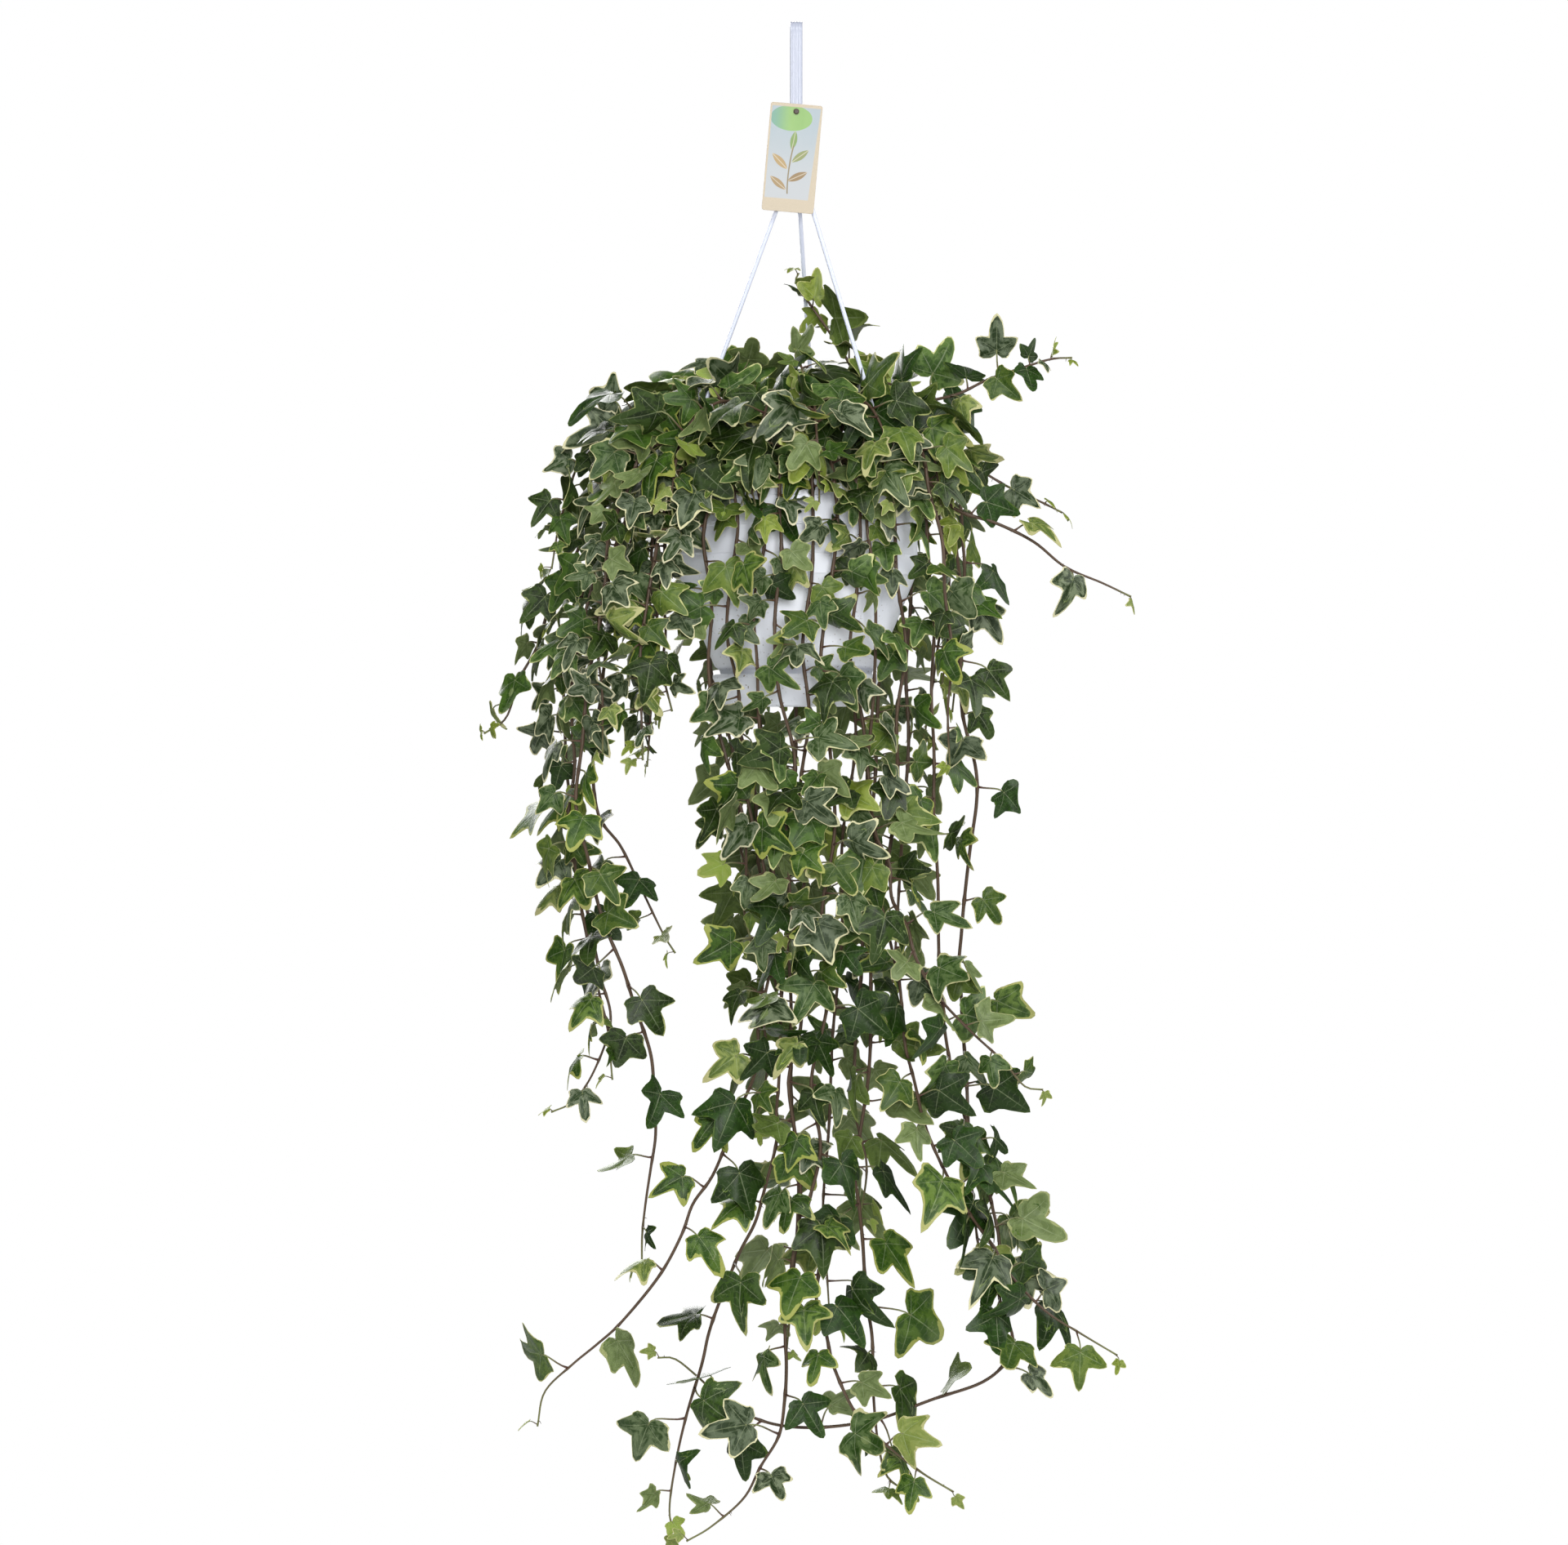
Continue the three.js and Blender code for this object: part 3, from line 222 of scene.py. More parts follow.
class Finish:
    """A material with its node tree, and the few calls that make its nodes."""

    def __init__(self, name):
        self.material = bpy.data.materials.new(name)
        self.material.use_nodes = True
        self.tree = self.material.node_tree
        self.surface = self.tree.nodes["Principled BSDF"]

    def node(self, kind, settings=None, sockets=None, out=0):
        made = self.tree.nodes.new(kind)
        settings = dict(settings or {})
        stops = settings.pop("stops", None)
        for name, value in settings.items():
            setattr(made, name, value)
        if stops:
            self.set_stops(made.color_ramp, stops)
        for key, value in (sockets or {}).items():
            self.join(value, made.inputs[key])
        return Wire(self, made.outputs[out])

    def set_stops(self, ramp, stops):
        interpolation, colours = stops
        ramp.interpolation = interpolation
        while len(ramp.elements) < len(colours):
            ramp.elements.new(1.0)
        for element, (place, colour) in zip(ramp.elements, colours):
            element.position = place
            element.color = colour if isinstance(colour, tuple) else grey(colour)

    def join(self, value, socket):
        if isinstance(value, Wire):
            self.tree.links.new(value.socket, socket)
        elif isinstance(value, tuple) and len(value) == 3 and socket.type == "RGBA":
            socket.default_value = (*value, 1)
        else:
            socket.default_value = value

    def set(self, **sockets):
        for name, value in sockets.items():
            self.join(value, self.surface.inputs[name.replace("_", " ")])

    def mix(self, share, a, b):
        settings = {"data_type": "RGBA", "clamp_factor": True}
        return self.node("ShaderNodeMix", settings, {0: share, 6: a, 7: b}, out=2)

    def tint(self, colour, by):
        """A colour times a number."""
        return self.node("ShaderNodeVectorMath", {"operation": "SCALE"}, {0: colour, "Scale": by})

    def noise(self, vector, scale, detail=2.0, roughness=0.5, distortion=0.0):
        sockets = {"Vector": vector, "Scale": scale, "Detail": detail, "Roughness": roughness,
                   "Distortion": distortion}
        return self.node("ShaderNodeTexNoise", {"noise_dimensions": "3D"}, sockets)

    def here(self):
        """Places on a piece in its own coordinates, in metres."""
        return self.node("ShaderNodeTexCoord", out=3)

    def vector(self, x, y, z):
        return self.node("ShaderNodeCombineXYZ", None, {0: x, 1: y, 2: z})

    def parts(self, vector):
        made = self.node("ShaderNodeSeparateXYZ", None, {0: vector})
        return [Wire(self, socket) for socket in made.socket.node.outputs]

    def bump(self, height, strength, distance):
        sockets = {"Height": height, "Strength": strength, "Distance": distance}
        self.join(self.node("ShaderNodeBump", None, sockets), self.surface.inputs["Normal"])


print("finishes ready")

# %% [markdown]
# ## Colours and pieces
#
# Two things that every piece needs: a colour from its usual code, and its place in the scene, where it rides
# on the only body and takes the stead of its solids.

# %% Colours and pieces


def srgb(code):
    """A colour as artists write it, made linear."""
    values = [int(code[i:i + 2], 16) / 255 for i in (0, 2, 4)]
    return tuple(v / 12.92 if v <= 0.04045 else ((v + 0.055) / 1.055) ** 2.4 for v in values)


def place(name, mesh, paint, slot, *nodes):
    """A finished piece in the scene, in the stead of its solids."""
    mesh.materials.append(paint)
    piece = linked(name, mesh)
    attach(piece, "root")
    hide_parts(*nodes)


print("pieces can be placed")

# %% [markdown]
# ## Where the stems run
#
# The plant is the same one as in the imported solids, so its rows of points are repeated here. The plant was
# potted as plugs of several cuttings each, and each plug is one clump: its azimuth and distance from the pot's
# axis, then its stems. A stem has a name, the azimuth where it crosses the rim, how far it arches above the rim
# (0 where it stays on the crown) and the points that it then passes, all in millimetres. Some have a factor for
# the distance between their leaves, as steps of height and factor. Stems could be grown by a rule as well, but
# the plant's outline is made by these very stems, so they are listed one by one. Those at the right and behind
# come first.

# %% Stems at the right and behind
CLUMPS = [
    (355, 66, [
    ["right_outer", 345, 16, [[118, -30, -350], [128, -36, -420], [132, -36, -500], [134, -34, -560],
      [144, -32, -600], [145, -30, -628], [140, -26, -665], [135, -22, -710], [131, -20, -760],
      [134, -20, -810], [138, -16, -870], [140, -12, -925], [146, -6, -980], [156, -2, -1034]],
      [[-560, 1.2], [-580, 2.4], [-700, 2.4], [-740, 1.2], [-900, 1], [-930, 0.5]]],
    ["right_curtain", 0, 26, [[121, 3, -336], [132, -2, -384], [136, -4, -440], [132, -4, -500],
      [126, -4, -556]], [[0, 1.2]]],
    ["right_shoot", 352, 0, [[84, -14, -322], [104, -20, -307], [130, -24, -300], [155, -26, -288],
      [182, -28, -279], [205, -28, -272], [222, -28, -271]], [[0, 1.1]]],
    ["right_spray", 8, 22, [[104, 16, -342], [130, 18, -348], [150, 20, -360], [172, 20, -373],
      [196, 20, -384], [216, 20, -394]]],
    ]),
    (25, 66, [
    ["right_rear_short", 14, 18, [[114, 28, -350], [124, 32, -400], [124, 34, -470], [118, 32, -536]],
      [[0, 1.4]]],
    ["right_rear", 23, 26, [[112, 48, -344], [122, 56, -420], [116, 60, -500], [104, 62, -580]], [[0, 1.3]]],
    ["rear_right_low", 37, 14, [[88, 68, -362], [94, 72, -460], [92, 70, -580], [84, 62, -700],
      [76, 56, -800]]],
    ]),
    (60, 66, [
    ["rear_right_long", 52, 16, [[67, 88, -362], [70, 92, -480], [64, 88, -620], [54, 78, -760],
      [48, 68, -880], [52, 60, -970]], [[0, 0.9]]],
    ["rear_right_tail", 66, 12, [[44, 100, -362], [44, 104, -500], [38, 96, -660], [30, 84, -820],
      [22, 72, -960], [28, 62, -1060]], [[0, 0.9]]],
    ]),
    (103, 66, [
    ["rear_tail", 92, 16, [[-4, 108, -362], [-2, 112, -480], [-2, 104, -640], [-4, 90, -800],
      [2, 78, -940], [-8, 68, -1080]], [[0, 0.9]]],
    ["rear_middle", 104, 22, [[-27, 106, -355], [-30, 112, -430], [-30, 110, -560], [-22, 100, -700],
      [-14, 88, -820]]],
    ["rear_left_long", 116, 14, [[-48, 96, -364], [-52, 100, -470], [-46, 98, -570], [-32, 92, -670],
      [-28, 82, -790], [-34, 74, -900]]],
    ]),
    (143, 66, [
    ["rear_left_low", 130, 14, [[-70, 82, -362], [-72, 86, -460], [-66, 88, -540], [-46, 84, -620],
      [-34, 78, -700]]],
    ["rear_left_curtain", 143, 26, [[-92, 70, -350], [-108, 80, -430], [-118, 84, -530],
      [-122, 82, -600]], [[0, 0.6]]],
    ["left_rear", 155, 30, [[-118, 60, -352], [-148, 72, -420], [-166, 78, -500], [-172, 76, -580]],
      [[0, 0.8]]],
    ["rear_left_short", 158, 20, [[-106, 42, -352], [-118, 48, -430], [-121, 50, -510],
      [-114, 48, -566]], [[0, 0.7]]],
    ]),
]
print("clumps at the right and behind:", len(CLUMPS))

# %% [markdown]
# ## Stems at the left
#
# At the left the stems fall outwards first, so a hollow stays open between them and the pot. The outer ones
# curl at their ends, and one strays far out.

# %% Stems at the left
CLUMPS += [
    (178, 66, [
    ["left_stray", 166, 30, [[-126, 36, -350], [-168, 44, -402], [-200, 46, -466], [-210, 44, -500],
      [-226, 42, -530], [-236, 40, -560], [-254, 38, -573]], [[-480, 0.9], [-500, 1.2]]],
    ["left_curl", 173, 12, [[-110, 16, -355], [-138, 20, -430], [-156, 22, -520], [-165, 22, -600],
      [-160, 22, -640], [-142, 20, -665], [-125, 18, -700], [-108, 16, -735], [-98, 14, -751]],
      [[-560, 0.8], [-640, 1.3]]],
    ["left_hook", 182, 24, [[-124, 2, -352], [-164, 4, -424], [-188, 4, -520], [-186, 4, -600],
      [-174, 2, -690], [-158, 0, -770], [-150, -2, -805], [-163, -4, -845], [-180, -4, -870],
      [-198, -4, -879]]],
    ["left_outer", 191, 16, [[-118, -24, -350], [-150, -32, -410], [-168, -36, -470], [-180, -38, -530],
      [-178, -38, -600], [-183, -38, -640], [-175, -36, -700], [-163, -32, -760], [-152, -28, -810],
      [-148, -26, -852]], [[0, 0.9]]],
    ]),
    (209, 66, [
    ["left_long", 206, 14, [[-112, -56, -358], [-146, -70, -430], [-166, -76, -530], [-176, -74, -630],
      [-166, -70, -675], [-152, -62, -730], [-130, -52, -790], [-117, -44, -830], [-113, -38, -895],
      [-121, -38, -950], [-124, -38, -1004]],
      [[-560, 0.9], [-700, 1.1], [-850, 1.6], [-960, 1.5], [-980, 0.7]]],
    ["left_front_low", 220, 12, [[-92, -80, -362], [-112, -96, -430], [-124, -104, -510],
      [-122, -106, -595]], [[0, 0.75]]],
    ["left_front", 213, 26, [[-118, -78, -345], [-149, -92, -415], [-158, -102, -500], [-154, -104, -590]],
      [[0, 0.85]]],
    ["left_front_short", 226, 22, [[-84, -84, -352], [-98, -90, -420], [-104, -92, -490],
      [-99, -90, -556]], [[0, 0.7]]],
    ]),
]
print("clumps so far:", len(CLUMPS))

# %% [markdown]
# ## Stems in front
#
# The dense column in front hangs straight from the pot and spreads only near its end, where long tails swing
# to both sides. One long stem from the right loops back under the others.

# %% Stems in front
CLUMPS += [
    (242, 66, [
    ["front_left", 232, 20, [[-70, -88, -356], [-74, -96, -420], [-70, -98, -520], [-54, -94, -600],
      [-40, -88, -680], [-36, -82, -740]], [[-540, 1], [-570, 1.5]]],
    ["front_left_long", 242, 12, [[-52, -98, -364], [-52, -102, -450], [-46, -100, -540],
      [-36, -94, -640], [-26, -86, -730], [-30, -78, -800], [-48, -70, -880], [-66, -64, -925],
      [-92, -58, -975], [-110, -54, -1008], [-140, -48, -1045], [-180, -42, -1080], [-202, -38, -1102],
      [-208, -36, -1130]], [[-540, 1], [-570, 1.5], [-700, 1], [-900, 0.8], [-960, 0.9], [-980, 1.5]]],
    ["front_left_tail", 252, 16, [[-34, -104, -362], [-34, -108, -470], [-30, -106, -560],
      [-20, -98, -660], [-12, -90, -760], [-14, -82, -850], [-16, -74, -900], [-26, -66, -940],
      [-46, -58, -990], [-62, -50, -1030], [-76, -44, -1080], [-88, -38, -1120], [-97, -34, -1160],
      [-102, -30, -1200], [-95, -28, -1222]], [[-760, 1], [-800, 1.6], [-1060, 1.6], [-1090, 0.8]]],
    ]),
    (276, 66, [
    ["front_short", 264, 24, [[-12, -112, -352], [-12, -118, -430], [-14, -116, -540], [-8, -108, -650],
      [-2, -98, -750]]],
    ["front_tail", 276, 12, [[12, -106, -364], [12, -110, -450], [10, -106, -560], [8, -96, -680],
      [4, -86, -800], [0, -76, -900], [-4, -70, -1000], [-8, -66, -1080], [-14, -64, -1135],
      [-42, -62, -1185], [-68, -60, -1208], [-88, -58, -1220]], [[-1130, 0.9], [-1150, 1.4]]],
    ["front_right_tail", 285, 18, [[28, -106, -360], [28, -112, -450], [26, -108, -580], [20, -98, -720],
      [12, -86, -850], [8, -78, -960], [16, -72, -1025], [30, -66, -1080], [48, -62, -1118],
      [72, -58, -1143], [100, -56, -1165], [126, -54, -1181]], [[-900, 1], [-1000, 0.8]]],
    ]),
    (306, 66, [
    ["front_right_swing", 294, 14, [[45, -98, -362], [48, -102, -460], [52, -102, -560], [62, -96, -650],
      [76, -90, -705], [95, -84, -752], [112, -80, -782], [140, -76, -812], [165, -74, -835],
      [182, -72, -855], [197, -70, -858]]],
    ["front_right_mid", 313, 12, [[75, -80, -364], [80, -84, -450], [80, -82, -560], [72, -66, -680],
      [60, -54, -800], [50, -46, -900], [50, -42, -950], [55, -38, -1010], [61, -36, -1060],
      [62, -34, -1105], [66, -34, -1145], [74, -32, -1172], [94, -32, -1184]], [[-900, 1], [-1000, 0.8]]],
    ["front_right_long", 303, 20, [[60, -94, -358], [62, -100, -450], [60, -98, -560], [58, -86, -640],
      [66, -76, -700], [75, -70, -740], [85, -64, -800], [94, -60, -850], [104, -56, -890],
      [122, -52, -930], [142, -48, -963], [172, -44, -1008], [200, -40, -1037], [228, -38, -1055],
      [258, -36, -1073]], [[-600, 1.2], [-850, 0.9], [-900, 0.5], [-1020, 0.6], [-1040, 1.3]]],
    ["right_front", 325, 26, [[98, -80, -345], [116, -90, -420], [124, -94, -510], [122, -94, -600]]],
    ]),
    (333, 66, [
    ["right_front_loop", 329, 16, [[98, -58, -356], [106, -62, -440], [108, -62, -540], [110, -58, -640],
      [114, -50, -740], [122, -42, -830], [138, -36, -890], [152, -32, -930], [163, -28, -980],
      [164, -24, -1030], [174, -20, -1058], [170, -18, -1078], [150, -16, -1096], [110, -14, -1110],
      [66, -12, -1126], [20, -10, -1133], [-20, -10, -1130], [-54, -8, -1115], [-80, -8, -1092],
      [-98, -8, -1078], [-112, -8, -1077]],
      [[-600, 1.3], [-860, 0.9], [-900, 0.5], [-1060, 0.6], [-1080, 1.4]]],
    ["right_low_spray", 338, 8, [[106, -44, -372], [128, -52, -394], [160, -56, -405], [190, -58, -420],
      [215, -58, -440], [245, -58, -453], [268, -58, -464]], [[0, 1.4]]],
    ]),
]
print("clumps so far:", len(CLUMPS))

# %% [markdown]
# ## The crown
#
# The crown's short stems start near the pot's middle and arch over the rim on all sides. They are what the
# pot is full of, seen from above. One shoot climbs between the hanger's arms.

# %% Stems of the crown
CLUMPS += [
    (30, 30, [
    ["top_shoot", 40, 0, [[50, 32, -335], [54, 32, -300], [44, 31, -274], [27, 30, -247], [11, 29, -224],
      [0, 28, -207], [2, 28, -199]]],
    ["crown_right", 20, 0, [[56, 22, -312], [88, 34, -312], [112, 42, -338], [122, 52, -384]]],
    ["crown_rear_right", 55, 0, [[34, 50, -312], [52, 80, -312], [64, 106, -345], [68, 116, -400]]],
    ["crown_top_right", 0, 0, [[34, 6, -320], [52, 2, -292], [74, -2, -290], [96, -8, -304]]],
    ]),
    (120, 30, [
    ["crown_rear", 88, 0, [[1, 54, -314], [2, 88, -306], [2, 118, -340], [4, 126, -400]]],
    ["crown_left_rear", 150, 0, [[-60, 32, -312], [-100, 51, -302], [-138, 64, -324], [-164, 68, -372],
      [-172, 68, -430]]],
    ["crown_rear_left", 120, 0, [[-38, 56, -312], [-56, 86, -312], [-66, 110, -345], [-70, 120, -400]]],
    ["crown_top_rear", 90, 0, [[-4, 22, -318], [2, 32, -286], [8, 48, -274], [14, 66, -288]]],
    ]),
    (210, 30, [
    ["crown_left", 180, 0, [[-58, -6, -312], [-104, 4, -312], [-146, 8, -326], [-176, 8, -356],
      [-192, 8, -404], [-198, 8, -440]]],
    ["crown_left_front", 203, 0, [[-62, -30, -315], [-100, -44, -308], [-136, -56, -328],
      [-156, -64, -375]]],
    ["crown_front_left", 228, 0, [[-46, -52, -314], [-72, -78, -314], [-92, -98, -342],
      [-100, -108, -390]]],
    ["crown_top_left", 190, 0, [[-34, -14, -316], [-42, -10, -286], [-62, -8, -280], [-84, -10, -294]]],
    ]),
    (300, 30, [
    ["crown_front", 250, 0, [[-14, -58, -314], [-22, -88, -310], [-30, -114, -340], [-32, -124, -395]]],
    ["crown_right_front", 305, 0, [[42, -56, -314], [58, -80, -312], [72, -100, -342], [78, -110, -392]]],
    ["crown_front_right", 275, 0, [[12, -60, -312], [14, -92, -308], [16, -120, -338], [18, -128, -392]]],
    ["crown_far_right", 333, 0, [[62, -30, -314], [88, -44, -314], [108, -54, -345], [116, -60, -392]]],
    ["crown_top_front", 270, 0, [[6, -24, -312], [0, -30, -284], [2, -48, -274], [6, -68, -288]]],
    ]),
]
SOIL_TOP, HOLE_DEPTH, STRAIGHT_UP = -392, 12, 8
RIM_TOP, ARCH_RADIUS = -371, 90
GAP = 0.3
UP = Vector((0, 0, 1))

# Where a plug's stems stand in it: outwards and sideways from its middle
SLOTS = [(4, -4.5), (4, 4.5), (-4, -4.5), (-4, 4.5), (0, 0)]
print("clumps:", len(CLUMPS), "stems:", sum(len(stems) for _, _, stems in CLUMPS))

# %% [markdown]
# ## A smooth route through given points
#
# A Catmull-Rom spline passes through every point that it is given, so a stem goes where it was seen. Length
# along it is measured on 200 short chords, because a leaf every so many millimetres needs the distance along
# the stem, which isn't the spline's own parameter.

# %% Routes


def around(azimuth, radius, z):
    angle = math.radians(azimuth)
    return Vector((radius * math.cos(angle), radius * math.sin(angle), z))


class Route:
    """A Catmull-Rom spline with places given as distances along it."""

    CHORDS = 200
    NUDGE = 0.0001

    def __init__(self, points):
        first = points[0] * 2 - points[1]
        last = points[-1] * 2 - points[-2]
        self.points = [first, *points, last]
        marks = [self.at_parameter(i / self.CHORDS) for i in range(self.CHORDS + 1)]
        self.sums = [0.0]
        for a, b in zip(marks, marks[1:]):
            self.sums.append(self.sums[-1] + (b - a).length)
        self.length = self.sums[-1]

    def at_parameter(self, t):
        place = (len(self.points) - 3) * t
        i = min(int(place), len(self.points) - 4)
        w = place - i
        p0, p1, p2, p3 = self.points[i:i + 4]
        v0, v1 = (p2 - p0) * 0.5, (p3 - p1) * 0.5
        return ((p1 - p2) * 2 + v0 + v1) * w ** 3 + ((p2 - p1) * 3 - v0 * 2 - v1) * w ** 2 + v0 * w + p1

    def parameter(self, distance):
        sums = self.sums
        i = min(max(int(np.searchsorted(sums, distance)) - 1, 0), self.CHORDS - 1)
        return (i + (distance - sums[i]) / (sums[i + 1] - sums[i])) / self.CHORDS

    def at(self, distance):
        return self.at_parameter(self.parameter(distance))

    def along(self, distance):
        t = min(max(self.parameter(distance), self.NUDGE), 1 - self.NUDGE)
        return (self.at_parameter(t + self.NUDGE) - self.at_parameter(t - self.NUDGE)).normalized()


print("routes ready")

# %% [markdown]
# ## The stems
#
# A stem rises from its hole in the soil, arches over the rim and then passes its points. No stem hangs
# straight, so points midway between distant ones swing a little to one side. How far is drawn by a plain
# formula, not by a shared generator, so each stem and each leaf has draws of its own and keeps them whatever
# happens to the others.

# %% Stems
SWAY, SWAY_REACH, SWAY_FROM = 0.24, 90, 50

# What each draw decides. Every purpose has its own number, so a new one changes none of the others.
(FOR_SIZE, FOR_GAP, FOR_ASIDE, FOR_OUTWARD, FOR_ALONG, FOR_STALK, FOR_FACE_ASIDE, FOR_FACE_ALONG, FOR_TIP,
 FOR_SWAY, FOR_BETWEEN, FOR_BETWEEN_SIZE, FOR_DROPPED, FOR_TURNED_OVER) = range(1, 15)


def draw(stem, leaf, purpose):
    """A repeatable draw between 0 and 1."""
    value = math.sin(stem * 12.9898 + leaf * 78.233 + purpose * 37.719) * 43758.5453
    return value - math.floor(value)


def swaying(stem, points):
    """The points of a route and, midway between them, points that swing a little to one side or the other."""
    swung = [points[0]]
    for i, (a, b) in enumerate(zip(points, points[1:])):
        reach = min((b - a).length, SWAY_REACH)
        middle = (a + b) / 2
        aside = UP.cross(Vector((middle.x, middle.y, 0)).normalized())
        if reach > SWAY_FROM:
            swung.append(middle + aside * (reach * SWAY * (draw(stem, i + 1, FOR_SWAY) - 0.5)))
        swung.append(b)
    return swung


def stem_route(stem, azimuth, radius, slot, crossing, arch, points):
    out = around(azimuth, 1, 0)
    radial, tangential = SLOTS[slot]
    root = around(azimuth, radius, 0) + out * radial + UP.cross(out) * tangential
    route = [Vector((root.x, root.y, SOIL_TOP + rise)) for rise in (-HOLE_DEPTH + GAP, 0, STRAIGHT_UP)]
    if arch:
        route.append(around(crossing, ARCH_RADIUS, RIM_TOP + arch))
    return Route(route + swaying(stem, [Vector(p) for p in points]))


stems = []
for clump, (azimuth, radius, rows) in enumerate(CLUMPS):
    for slot, (_, crossing, arch, points, *factor) in enumerate(rows):
        route = stem_route(len(stems), azimuth, radius, slot, crossing, arch, points)
        spread = factor[0] if factor else [(0, 1)]
        stems.append({"clump": clump, "azimuth": crossing, "route": route, "spread": spread})
print("stem length in all:", round(sum(s["route"].length for s in stems) * MM, 2), "m")

# %% [markdown]
# ## How a leaf stands
#
# Ivy sets its leaves singly, left and right in turn, each on a stalk of its own. On a hanging stem every
# blade twists on its stalk until it faces outwards with its tip down, and on the crown it faces up. All but
# the rear leaves turn to the light in front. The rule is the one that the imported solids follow, with the same
# draws, but there only the largest leaves are kept. The smaller ones turn more freely here, and now and then
# one shows its underside.

# %% How a leaf stands
LARGE_LEAF, FREER, TURNED_OVER = 0.84, 0.45, 0.14
OPEN_FROM, OPEN_OVER = -380, 80
AXIS_RADIUS, NO_SIDE, SPARE_TURN, SPARE_RISE = 20, 0.2, 60, 0.3
TO_LIGHT, LESS_OUT, FACE_UP, MORE_UP = 0.7, 0.7, 0.3, 0.6
STALK_OUT, STALK_DROOP = 0.85, 0.1
TIP_AWAY, TIP_DOWN = 0.6, 0.8

# The range that each of a leaf's draws covers
RANGES = {
    FOR_ASIDE: (0.7, 1.1), FOR_OUTWARD: (0.35, 0.95), FOR_ALONG: (-0.1, 0.4), FOR_STALK: (0.5, 1.05),
    FOR_FACE_ASIDE: (-0.6, 0.9), FOR_FACE_ALONG: (-0.7, 0.7), FOR_TIP: (-0.9, 0.9),
}


def flattened(vector, normal):
    """The vector's part square to a unit normal, made a unit long."""
    return (vector - normal * vector.dot(normal)).normalized()


def pose(stem, i, azimuth, foot, along, size, large):
    def drawn(purpose):
        low, high = RANGES[purpose]
        return low + (high - low) * draw(stem, i, purpose)

    upward = min(max((foot.z - OPEN_FROM) / OPEN_OVER, 0), 1)
    on_axis = math.hypot(foot.x, foot.y) < AXIS_RADIUS
    radial = around(azimuth, 1, 0) if on_axis else Vector((foot.x, foot.y, 0)).normalized()
    light = TO_LIGHT * (1 - max(0, radial.y))
    outward = radial * (1 - LESS_OUT * upward) + UP * (FACE_UP + MORE_UP * upward) - Vector((0, light, 0))
    outward.normalize()
    side = along.cross(outward)
    if side.length < NO_SIDE:
        side = along.cross(around(azimuth + SPARE_TURN, 1, SPARE_RISE))
    side = side.normalized() * (1 if i % 2 else -1)

    # The stalk leads away to one side of the stem, outwards and a little onwards
    away = side * drawn(FOR_ASIDE) + outward * drawn(FOR_OUTWARD) + along * drawn(FOR_ALONG)
    away.normalize()
    reach = size * drawn(FOR_STALK)
    end = foot + away * (STALK_OUT * reach) - UP * (STALK_DROOP * reach)

    # The blade faces outwards, leans at random and lets its tip hang
    free = 1 + FREER * (large < LARGE_LEAF)
    face = outward + side * (free * drawn(FOR_FACE_ASIDE)) + along * (free * drawn(FOR_FACE_ALONG))
    if large < LARGE_LEAF and draw(stem, i, FOR_TURNED_OVER) < TURNED_OVER:
        face = -face
    face.normalize()
    tip = (away * TIP_AWAY - UP * TIP_DOWN + side * free * drawn(FOR_TIP)).normalized()
    return {"foot": foot, "end": end, "face": face, "tip": flattened(tip, face)}


print("leaves can stand")

# %% [markdown]
# ## Where each leaf grows
#
# The gaps between leaves grow down the stem, and the leaves near its end are young: small and close together.
# Two things are this plant's own: the stems are barer in front of the pot, so that it shows between them,
# with some small leaves in the gaps, and the plant is thinner at its right.

# %% Where each leaf grows
BARE_START = 34
SMALL_BLADE, BLADE_RANGE = 21, 16
TIP_STRETCH, YOUNGEST = 60, 0.28
TIP_LEAF, TIP_LEAF_SIZE, BEFORE_END = 99, 11, 1.5
GAP_LEAST, GAP_SPREAD, YOUNG_GAP, OLDER_GAP = 0.75, 0.5, 0.45, 0.55
LEAF_GAPS = [(-330, 13), (-430, 16), (-600, 21), (-850, 28), (-950, 36)]
LEAF_SHARES = [(-230, 1.3), (-330, 1.1), (-400, 0.86), (-700, 1), (-1000, 1.2)]
BARE_FACTOR, BARE_TOP, BARE_BOTTOM, BARE_HALF_WIDTH, BARE_FRONT = 2.4, -398, -550, 92, -70
BETWEEN, BETWEEN_SHARE, BETWEEN_RANGE = 101, 0.5, 8
THIN_RIGHT, THIN_TOP, THIN_BOTTOM, THIN_SHARE = 108, -330, -740, 0.5
SHOOT_FROM, SHOOT_LEAF = 120, 0.72


def stepped(steps, z):
    return float(np.interp(-z, [-height for height, _ in steps], [value for _, value in steps]))


def in_front_of_pot(foot):
    return BARE_BOTTOM < foot.z < BARE_TOP and foot.y < BARE_FRONT and abs(foot.x) < BARE_HALF_WIDTH


def leaf_gap(foot, spread):
    bare = BARE_FACTOR if in_front_of_pot(foot) else 1
    return stepped(LEAF_GAPS, foot.z) * stepped(spread, foot.z) * bare


def left_out(stem, i, foot, large):
    """The right side is thinner: some of its smaller leaves have dropped."""
    beside = foot.x > THIN_RIGHT and THIN_BOTTOM < foot.z < THIN_TOP
    return beside and large < LARGE_LEAF and draw(stem, i, FOR_DROPPED) < THIN_SHARE


